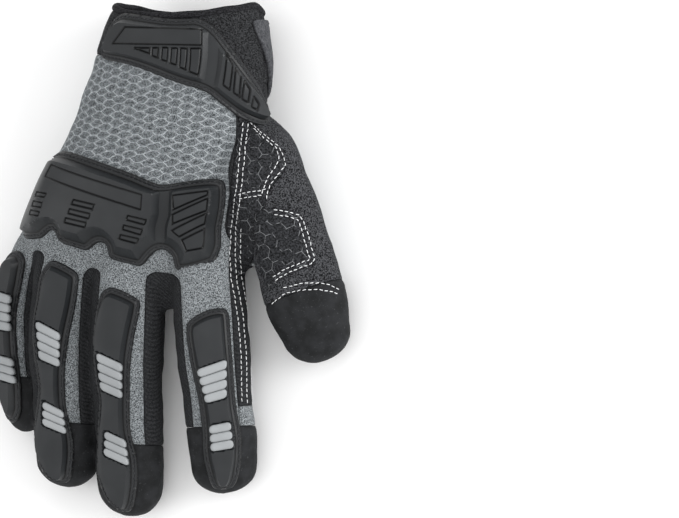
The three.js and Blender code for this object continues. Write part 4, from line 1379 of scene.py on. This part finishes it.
def add_binding(m):
    """The rolled binding round the cuff's edge."""
    steps, sides = 160, 12
    angle = np.linspace(0, 2 * math.pi, steps, endpoint=False)
    chart = CHARTS["palm"]
    v = np.full(steps, PALM_LENGTH)
    p, n = chart.at_angle(angle, v)
    x, z, _, _, _ = chart.shares(p)
    p = p - n * (WALL / 2)
    p[:, 2] = np.maximum(p[:, 2], TAB_REST)
    p[:, 1] += BINDING_OUT - rim_dip(x, z)
    p[:, 1] += 0.35 * np.sin(angle * 7) * np.sin(angle * 4 + 1)
    run = unit(np.roll(p, -1, 0) - np.roll(p, 1, 0))
    out = unit(np.cross(run, np.array([0, 1.0, 0])))
    fore = np.cross(out, run)
    rings = []
    across, along_edge = BINDING_SIZE
    for t in 2 * math.pi * np.arange(sides) / sides:
        rings.append(p + out * (across * math.cos(t)) + fore * (along_edge * math.sin(t)))
    points = np.stack(rings, 1).reshape(-1, 3)
    obj = make_object("cuff_binding", points, tube_quads(steps, sides, True), m["binding"])
    write_uv(obj, np.stack(np.divmod(np.arange(steps * sides), sides), 1))
    keep_piece(obj, ["cuff_binding"])


# Stitches.


RNG = np.random.default_rng(11)


def dashes(points, normals, length=1.75, gap=0.85, radius=0.2, lift=0.1):
    """Threads lying along a track of points, as points and triangles."""
    run = np.concatenate([[0], np.cumsum(np.linalg.norm(np.diff(points, axis=0), axis=1))])
    pitch = length + gap
    starts = np.arange(0.3, run[-1] - length, pitch)
    if not len(starts):
        return None
    along_dash = np.array([-0.5, -0.44, -0.25, 0, 0.25, 0.44, 0.5]) * length
    starts = starts + RNG.uniform(-0.2, 0.2, len(starts))
    size = np.array([0.15, 0.7, 1, 1, 1, 0.7, 0.15]) * radius
    rise = np.array([-0.5, -0.15, 0.1, 0.2, 0.1, -0.15, -0.5]) * radius + lift
    sides = 6
    turn = np.arange(sides) * 2 * math.pi / sides
    at = (starts + length / 2)[:, None] + along_dash
    place = np.stack([np.interp(at, run, points[:, k]) for k in range(3)], -1)
    up = np.stack([np.interp(starts + length / 2, run, normals[:, k]) for k in range(3)], -1)
    up = unit(up)
    way = unit(place[:, -1] - place[:, 0])
    side = unit(np.cross(way, up))
    slant = np.linspace(-1, 1, len(along_dash)) * RNG.uniform(-0.26, 0.26, (len(starts), 1))
    aside = slant + RNG.uniform(-0.2, 0.2, (len(starts), 1))
    centre = place + up[:, None] * rise[None, :, None] + side[:, None] * aside[:, :, None]
    ring = (
        side[:, None, None] * (np.cos(turn)[:, None] * size[:, None, None])
        + up[:, None, None] * (np.sin(turn)[:, None] * size[:, None, None])
    )
    mesh = (centre[:, :, None] + ring).reshape(-1, 3)
    rings = len(along_dash)
    quads = tube_quads(rings, sides)
    tris = np.concatenate([quads[:, [0, 1, 2]], quads[:, [0, 2, 3]]])
    fan = np.array([[0, j + 1, j] for j in range(1, sides - 1)])
    last = np.array([[0, j, j + 1] for j in range(1, sides - 1)]) + (rings - 1) * sides
    tris = np.concatenate([tris, fan, last])
    count = rings * sides
    tris = (tris[None] + np.arange(len(starts))[:, None, None] * count).reshape(-1, 3)
    return mesh, tris, np.zeros((len(mesh), 3))


def view_track(line, aside=0.0):
    """A track on the form under a line that the camera sees."""
    return view_hits(resample(shifted(resample(line, 2.0, False), aside), 0.8, False))


def chart_track(chart, line, above=0.0, closed=False):
    """A track on the form under a line on a chart."""
    chart = CHARTS[chart]
    line = resample(line, 0.8, closed)
    p, n = chart.place(line[:, 0], line[:, 1])
    away = reach_form(p, n)
    good = ~np.isnan(away)
    p, n, away = p[good], n[good], away[good]
    if len(away) > 8:
        away = np.convolve(np.pad(away, 3, mode="edge"), np.ones(7) / 7, mode="valid")
    return p + n * (away + above)[:, None], n


def add_stitches(name, tracks, material, slot, **sizes):
    parts = [dashes(p, n, **sizes) for p, n in tracks if len(p) > 4]
    points, faces, _ = merged([part for part in parts if part is not None])
    obj = make_object(name, points, faces, material)
    return keep_piece(obj)


# Seams with white thread, right and up of the origin as the camera sees them.
BACK_SEAM = [
    (35.4, 65.1), (34.2, 54.6), (32.8, 39.9), (31.2, 27.6), (29.5, 15.2), (29, 3.3), (29.5, -9),
    (31.4, -19), (32.8, -27.6), (34.2, -45.6), (34.4, -59.9), (34.7, -69.3),
]
WEB_OUTER = [
    (38.5, 66.5), (45.1, 60.8), (54.6, 53.2), (57, 47.5), (57.4, 44.7), (50.8, 36.1),
    (48.9, 31.4), (48.5, 27.6),
]
WEB_INNER = [(42.3, 62.2), (48.9, 56.1), (53.7, 52.3), (54.6, 46.6), (48.9, 38), (46.5, 31)]
WEB_CROSS = [[(35.2, 30.9), (48.9, 33.3)], [(35.6, 29), (48.5, 30.9)]]
CAP_SEAMS = [
    [(-6.1, 87.5), (-0.8, 87.9), (4, 88.6), (13.2, 91.5), (20.8, 96.4)],
    [(-15.3, 92.1), (-5.8, 90.1), (3.2, 91.3), (10.5, 93.7), (20.4, 98.8)],
]
THUMB_PATCH_END = -11  # round the thumb, where the stitches of its patch end


def sew(m):
    white = [view_track(BACK_SEAM, 2.3), view_track(BACK_SEAM, 4.7), view_track(BACK_SEAM[4:], 7.2)]
    white += [view_track(line) for line in (WEB_OUTER, WEB_INNER, *WEB_CROSS)]
    white += [chart_track("thumb", line) for line in CAP_SEAMS]
    patch = rounded_line(THUMB_PATCH, 1)
    for d in (1.1, 3.3):
        line = inside_outline(patch, d)
        line = line[:np.argmax(line[:, 0] < THUMB_PATCH_END)]
        white.append(chart_track("thumb", line, 0.75))
    for _, chart, outline in pad_outlines():
        above = 1.15 if chart == "palm" else 1.05
        white += [chart_track(chart, inside_outline(outline, d), above, True) for d in PAD_ROWS]
    add_stitches("stitches_white", white, m["thread"], "pad_black")
    black = []
    guards = [("palm", KNUCKLE_GUARD), ("palm", WRIST_GUARD), *FINGER_GUARDS.items()]
    for chart, outline in guards:
        line = inside_outline(rounded_line(outline, 2), SEWN)
        black.append(chart_track(chart, line, FLANGE - 0.2, True))
    add_stitches("stitches_black", black, m["thread_black"], "rubber_black", length=1.5, gap=0.9,
                 radius=0.24, lift=0.02)


# Materials.


def tone(*rgb):
    """A colour from the values that a picture shows."""
    value = [c / 255 for c in rgb]
    return tuple(c / 12.92 if c <= 0.04045 else ((c + 0.055) / 1.055) ** 2.4 for c in value) + (1,)


class Finish:
    """A node material and short ways to add to it."""

    def __init__(self, name, colour, roughness, specular=0.5):
        self.material = bpy.data.materials.new(name)
        self.material.use_nodes = True
        self.tree = self.material.node_tree
        self.shader = self.tree.nodes["Principled BSDF"]
        self.shader.inputs["Base Color"].default_value = colour
        self.shader.inputs["Roughness"].default_value = roughness
        self.shader.inputs["Specular IOR Level"].default_value = specular
        coords = self.node("ShaderNodeTexCoord")
        self.place = coords.outputs["Object"]
        self.map = coords.outputs["UV"]
        self.material.diffuse_color = colour

    def node(self, kind, **values):
        node = self.tree.nodes.new(kind)
        for key, value in values.items():
            setattr(node, key, value)
        return node

    def link(self, a, b):
        self.tree.links.new(a, b)

    def math(self, operation, *values):
        node = self.node("ShaderNodeMath", operation=operation)
        for i, value in enumerate(values):
            if isinstance(value, (int, float)):
                node.inputs[i].default_value = value
            else:
                self.link(value, node.inputs[i])
        return node.outputs[0]

    def noise(self, size, detail=2.0, rough=0.5):
        """Noise whose spots are about size millimetres."""
        node = self.node("ShaderNodeTexNoise")
        node.inputs["Detail"].default_value = detail
        node.inputs["Roughness"].default_value = rough
        node.inputs["Scale"].default_value = 1 / MM / size
        self.link(self.place, node.inputs["Vector"])
        return node.outputs["Fac"]

    def between(self, value, low, high, out_low=0.0, out_high=1.0):
        node = self.node("ShaderNodeMapRange", interpolation_type="SMOOTHSTEP")
        self.link(value, node.inputs["Value"])
        for i, number in enumerate((low, high, out_low, out_high)):
            node.inputs[i + 1].default_value = number
        return node.outputs[0]

    def mix(self, factor, a, b):
        node = self.node("ShaderNodeMix", data_type="RGBA")
        self.link(factor, node.inputs["Factor"])
        for key, value in (("A", a), ("B", b)):
            socket = [s for s in node.inputs if s.name == key and s.type == "RGBA"][0]
            if isinstance(value, tuple):
                socket.default_value = value
            else:
                self.link(value, socket)
        return [s for s in node.outputs if s.type == "RGBA"][0]

    def spots(self, value, low, high, dark, light):
        """One tone under a low value, another over a high one."""
        return self.mix(self.between(value, low, high), tone(*dark), tone(*light))

    def colour(self, value):
        self.link(value, self.shader.inputs["Base Color"])

    def bump(self, height, distance):
        """Relief of so many millimetres."""
        node = self.node("ShaderNodeBump")
        node.inputs["Distance"].default_value = distance * MM
        node.inputs["Strength"].default_value = 1.0
        self.link(height, node.inputs["Height"])
        before = self.shader.inputs["Normal"].links
        if before:
            self.link(before[0].from_socket, node.inputs["Normal"])
        self.link(node.outputs[0], self.shader.inputs["Normal"])

    def hexagons(self, tall, squeeze, wobble, size, arch):
        """Millimetres from the nearest edge of a honeycomb over the map, or of arched cells."""
        split = self.node("ShaderNodeSeparateXYZ")
        self.link(self.map, split.inputs[0])
        x = self.math("MULTIPLY", split.outputs[0], squeeze)
        shift = self.math("MULTIPLY", self.math("SUBTRACT", self.noise(size, 1.0), 0.5), wobble)
        y = self.math("ADD", split.outputs[1], shift)
        x = self.math("SUBTRACT", x, shift)
        wide = tall * math.sqrt(3)
        cells = []
        for part in (0.0, 0.5):
            fx = self.math("ABSOLUTE", self.math(
                "WRAP", self.math("ADD", x, wide * part), wide / 2, -wide / 2))
            fy = self.math("ABSOLUTE", self.math(
                "WRAP", self.math("ADD", y, tall * part), tall / 2, -tall / 2))
            slope = self.math(
                "ADD", self.math("MULTIPLY", fx, math.sqrt(3) / 2 - 0.289 * arch),
                self.math("MULTIPLY", fy, 0.5 + 0.5 * arch))
            cells.append(self.math("MAXIMUM", fy, slope))
        return self.math("SUBTRACT", tall / 2, self.math("MINIMUM", *cells))


def air_mesh():
    f = Finish("air_mesh", tone(128, 133, 135), 0.85, 0.25)
    edge = f.hexagons(3.7, 0.54, 1.1, 2.4, 0.35)
    speck = f.noise(0.6, 3.0, 0.8)
    core = f.spots(speck, 0.4, 0.6, (36, 39, 42), (124, 129, 132))
    rim = f.spots(speck, 0.4, 0.6, (68, 72, 75), (138, 143, 146))
    shade = f.mix(f.between(edge, 0.3, 1.1), rim, core)
    line = f.between(edge, 0.03, 0.17, 1.0, 0.0)
    line = f.math("MULTIPLY", line, f.between(f.noise(1.7), 0.36, 0.5, 0.3, 1.0))
    f.colour(f.mix(line, shade, tone(176, 181, 184)))
    f.bump(f.between(edge, 0.0, 0.6, 1.0, 0.0), 0.12)
    f.bump(speck, 0.25)
    return f.material


def heather(name, folds=0.0):
    f = Finish(name, tone(120, 125, 127), 0.9, 0.15)
    fine = f.noise(0.6, 3.0, 0.85)
    base = f.spots(fine, 0.42, 0.58, (26, 28, 30), (152, 157, 160))
    f.colour(f.mix(f.between(f.noise(3.0), 0.35, 0.7, 0.0, 0.3), base, tone(100, 105, 108)))
    if folds:
        f.bump(f.noise(2.4), folds)
    f.bump(fine, 0.25)
    f.shader.inputs["Sheen Weight"].default_value = 0.1
    return f.material


def suede():
    f = Finish("suede", tone(140, 144, 146), 0.95, 0.15)
    fine = f.noise(0.4, 3.0, 0.7)
    cloud = f.noise(7.0, 3.0)
    base = f.spots(fine, 0.3, 0.7, (122, 126, 128), (156, 160, 162))
    f.colour(f.mix(f.between(cloud, 0.35, 0.7, 0.0, 0.5), base, tone(128, 132, 135)))
    f.bump(fine, 0.1)
    f.shader.inputs["Sheen Weight"].default_value = 0.25
    return f.material


def black_knit(name, low, high, size, twill=0.0, limits=(0.38, 0.64)):
    f = Finish(name, tone(*high), 0.9, 0.12)
    fine = f.noise(size, 3.0, 0.8)
    value = f.between(fine, *limits)
    if twill:
        split = f.node("ShaderNodeSeparateXYZ")
        f.link(f.place, split.inputs[0])
        across = f.math("ADD", split.outputs[0], f.math("MULTIPLY", split.outputs[1], 0.8))
        across = f.math("ADD", across, f.math("MULTIPLY", split.outputs[2], 0.6))
        wave = f.math("SINE", f.math("MULTIPLY", across, 2 * math.pi / (twill * MM)))
        wave = f.between(wave, -1.0, 1.0, 0.55, 1.0)
        f.bump(wave, 0.14)
        value = f.math("MULTIPLY", wave, f.math("ADD", 0.25, value))
    f.colour(f.mix(value, tone(*low), tone(*high)))
    f.bump(fine, 0.15)
    return f.material


def grip(name, low, high, roughness):
    f = Finish(name, tone(*low), roughness, 0.16)
    base = f.spots(f.noise(6.0), 0.3, 0.7, low, high)
    light = tone(*(c + 26 for c in high))
    f.colour(f.mix(f.between(f.noise(0.9, 1.0), 0.66, 0.76, 0.0, 0.7), base, light))
    f.bump(f.noise(0.8), 0.12)
    return f.material


def hex_print():
    f = Finish("hexagon_print", tone(33, 34, 36), 0.8, 0.15)
    fine = f.noise(0.4, rough=0.7)
    line = f.between(f.hexagons(6.2, 1.0, 1.6, 7.0, 0.0), 0.05, 0.15, 1.0, 0.0)
    line = f.math("MULTIPLY", line, f.between(f.noise(3.1), 0.44, 0.53))
    line = f.math("MULTIPLY", line, f.between(fine, 0.3, 0.5, 0.25, 1.0))
    base = f.spots(f.noise(0.9, 3.0, 0.8), 0.38, 0.62, (4, 5, 6), (52, 53, 56))
    f.colour(f.mix(line, base, tone(126, 128, 130)))
    f.bump(fine, 0.12)
    return f.material


def rubber(name, low, high, roughness, specular, groove_shade_tone=None):
    """Soft rubber, with painted shade as dark lines in its grooves and creases."""
    f = Finish(name, tone(*low), roughness, specular)
    base = f.spots(f.noise(14.0), 0.3, 0.7, low, high)
    if groove_shade_tone:
        # Painted shade, darkest in the grooves and creases marked on the mesh.
        line = f.node("ShaderNodeAttribute", attribute_name="line").outputs["Fac"]
        base = f.mix(f.between(line, 0.05, 0.75), base, tone(*groove_shade_tone))
    f.colour(base)
    f.bump(f.noise(0.3), 0.025)
    return f.material


def thread(name, low, high):
    f = Finish(name, tone(*high), 0.7, 0.3)
    f.colour(f.spots(f.noise(0.5), 0.35, 0.65, low, high))
    f.bump(f.noise(0.2, 1.0), 0.04)
    return f.material


def pale_floor():
    colour = tone(251, 251, 251)
    f = Finish("pale_floor", colour, 0.9, 0.2)
    soft = tuple(c * 0.985 for c in colour[:3]) + (1,)
    f.colour(f.mix(f.between(f.noise(120.0), 0.3, 0.7), colour, soft))
    return f.material


def make_materials():
    return {
        "mesh": air_mesh(),
        "heather": heather("heather_knit"),
        "crumpled": heather("crumpled_knit", 0.7),
        "suede": suede(),
        "knit": black_knit("black_knit", (8, 9, 10), (52, 53, 55), 0.6, 1.9),
        "fleece": black_knit("black_fleece", (0, 0, 1), (76, 77, 80), 0.75, limits=(0.41, 0.6)),
        "elastic": black_knit("woven_elastic", (4, 4, 5), (58, 59, 61), 0.7),
        "binding": black_knit("woven_binding", (14, 14, 15), (48, 48, 51), 0.8),
        "strap": black_knit("strap_knit", (52, 53, 56), (84, 85, 88), 1.2),
        "grip": grip("grip_leather", (24, 25, 26), (36, 37, 39), 0.75),
        "print": hex_print(),
        # The last tone is the painted shade in the guards' grooves and creases.
        "rubber": rubber("rubber_black", (33, 35, 37), (38, 40, 42), 0.42, 0.3, (7, 7, 8)),
        "rib": rubber("rubber_grey", (138, 141, 143), (147, 150, 152), 0.5, 0.5),
        "thread": thread("thread_white", (205, 206, 208), (246, 247, 248)),
        "thread_black": thread("thread_black", (34, 34, 36), (64, 64, 67)),
    }


MESH_EDGE = 40  # along the palm, where the air mesh ends under the knuckle guard
ELASTIC = (52, 68)  # the palm is elastic past these places, to the thumb and to the cuff
PANEL_LOOKS = {
    "back_panel": ("mesh", "mesh_grey"), "cuff": ("elastic", "knit_black"),
    "thumb_cap": ("grip", "grip_black"),
    "web_patch": ("print", "pad_black"), "side_patch": ("crumpled", "suede_grey"),
    "thumb_front": ("suede", "suede_grey"), "thumb_back": ("fleece", "knit_black"),
    "palm_panel": ("suede", "suede_grey"),
    **{f"tip_{d}": ("grip", "grip_black") for d in DIGITS},
}
EXTRA_PANELS = {"web_patch", "side_patch"}


def panel_map(name, points):
    """A map over a panel, in millimetres."""
    if name == "back_panel":
        a, v = CHARTS["palm"].unwrap(points)
        return np.stack([a, v], 1)
    if name == "web_patch":
        return np.stack([points @ VIEW_RIGHT, points @ VIEW_UP], 1)
    return points[:, :2]


def other_look(obj, material, faces):
    """A second material on some of an object's faces."""
    obj.data.materials.append(material)
    obj.data.polygons.foreach_set("material_index", faces.astype(np.int32))


def add_panels(m):
    for name, skin in cut_panels().items():
        look, slot = PANEL_LOOKS.get(name, ("knit", "knit_black"))
        points, faces = fabric_wall(skin)
        obj = make_object(name, points, faces, m[look])
        uv = panel_map(name, skin.points)
        write_uv(obj, np.concatenate([uv, uv]))
        at = points[faces[:, 0]]
        if name == "palm_panel":
            other_look(obj, m["elastic"], (at[:, 0] > ELASTIC[0]) & (at[:, 1] > ELASTIC[1]))
        if name == "back_panel":
            other_look(obj, m["heather"], at[:, 1] - PALM_START < MESH_EDGE)
        keep_piece(obj, [] if name in EXTRA_PANELS else [name])


# Floor and light.


def add_floor():
    far = 12000
    floor = make_object(
        "floor", [(-far, -far, 0), (far, -far, 0), (far, far, 0), (-far, far, 0)],
        [(0, 1, 2, 3)], pale_floor(), smooth=False)


def add_light(name, place, size, power):
    data = bpy.data.lights.new(name, "AREA")
    data.shape = "DISK"
    data.size = size
    data.energy = power
    light = bpy.data.objects.new(name, data)
    light.location = place
    light.rotation_euler = (-Vector(place)).to_track_quat("-Z", "Y").to_euler()
    bpy.context.scene.collection.objects.link(light)


SKY = (0.75, 1.35)  # how bright the soft light is from the left and from the right


def add_lights():
    world = bpy.data.worlds.new("world")
    world.use_nodes = True
    tree = world.node_tree
    sky = tree.nodes["Background"]
    sky.inputs[0].default_value = (1, 1, 1, 1)
    split = tree.nodes.new("ShaderNodeSeparateXYZ")
    tree.links.new(tree.nodes.new("ShaderNodeTexCoord").outputs["Generated"], split.inputs[0])
    side = tree.nodes.new("ShaderNodeMapRange")
    side.inputs["From Min"].default_value = -1
    side.inputs["To Min"].default_value = SKY[0]
    side.inputs["To Max"].default_value = SKY[1]
    tree.links.new(split.outputs[0], side.inputs["Value"])
    tree.links.new(side.outputs[0], sky.inputs[1])
    bpy.context.scene.world = world
    bpy.context.scene.view_settings.view_transform = "Standard"
    add_light("key", (1.7, 0.3, 0.7), 1.1, 19)
    add_light("fill", (-1.3, -0.4, 1.3), 1.4, 6)


looks = make_materials()
add_panels(looks)
add_guards(looks)
add_pads(looks)
add_strap(looks)
add_binding(looks)
sew(looks)
add_floor()
add_lights()
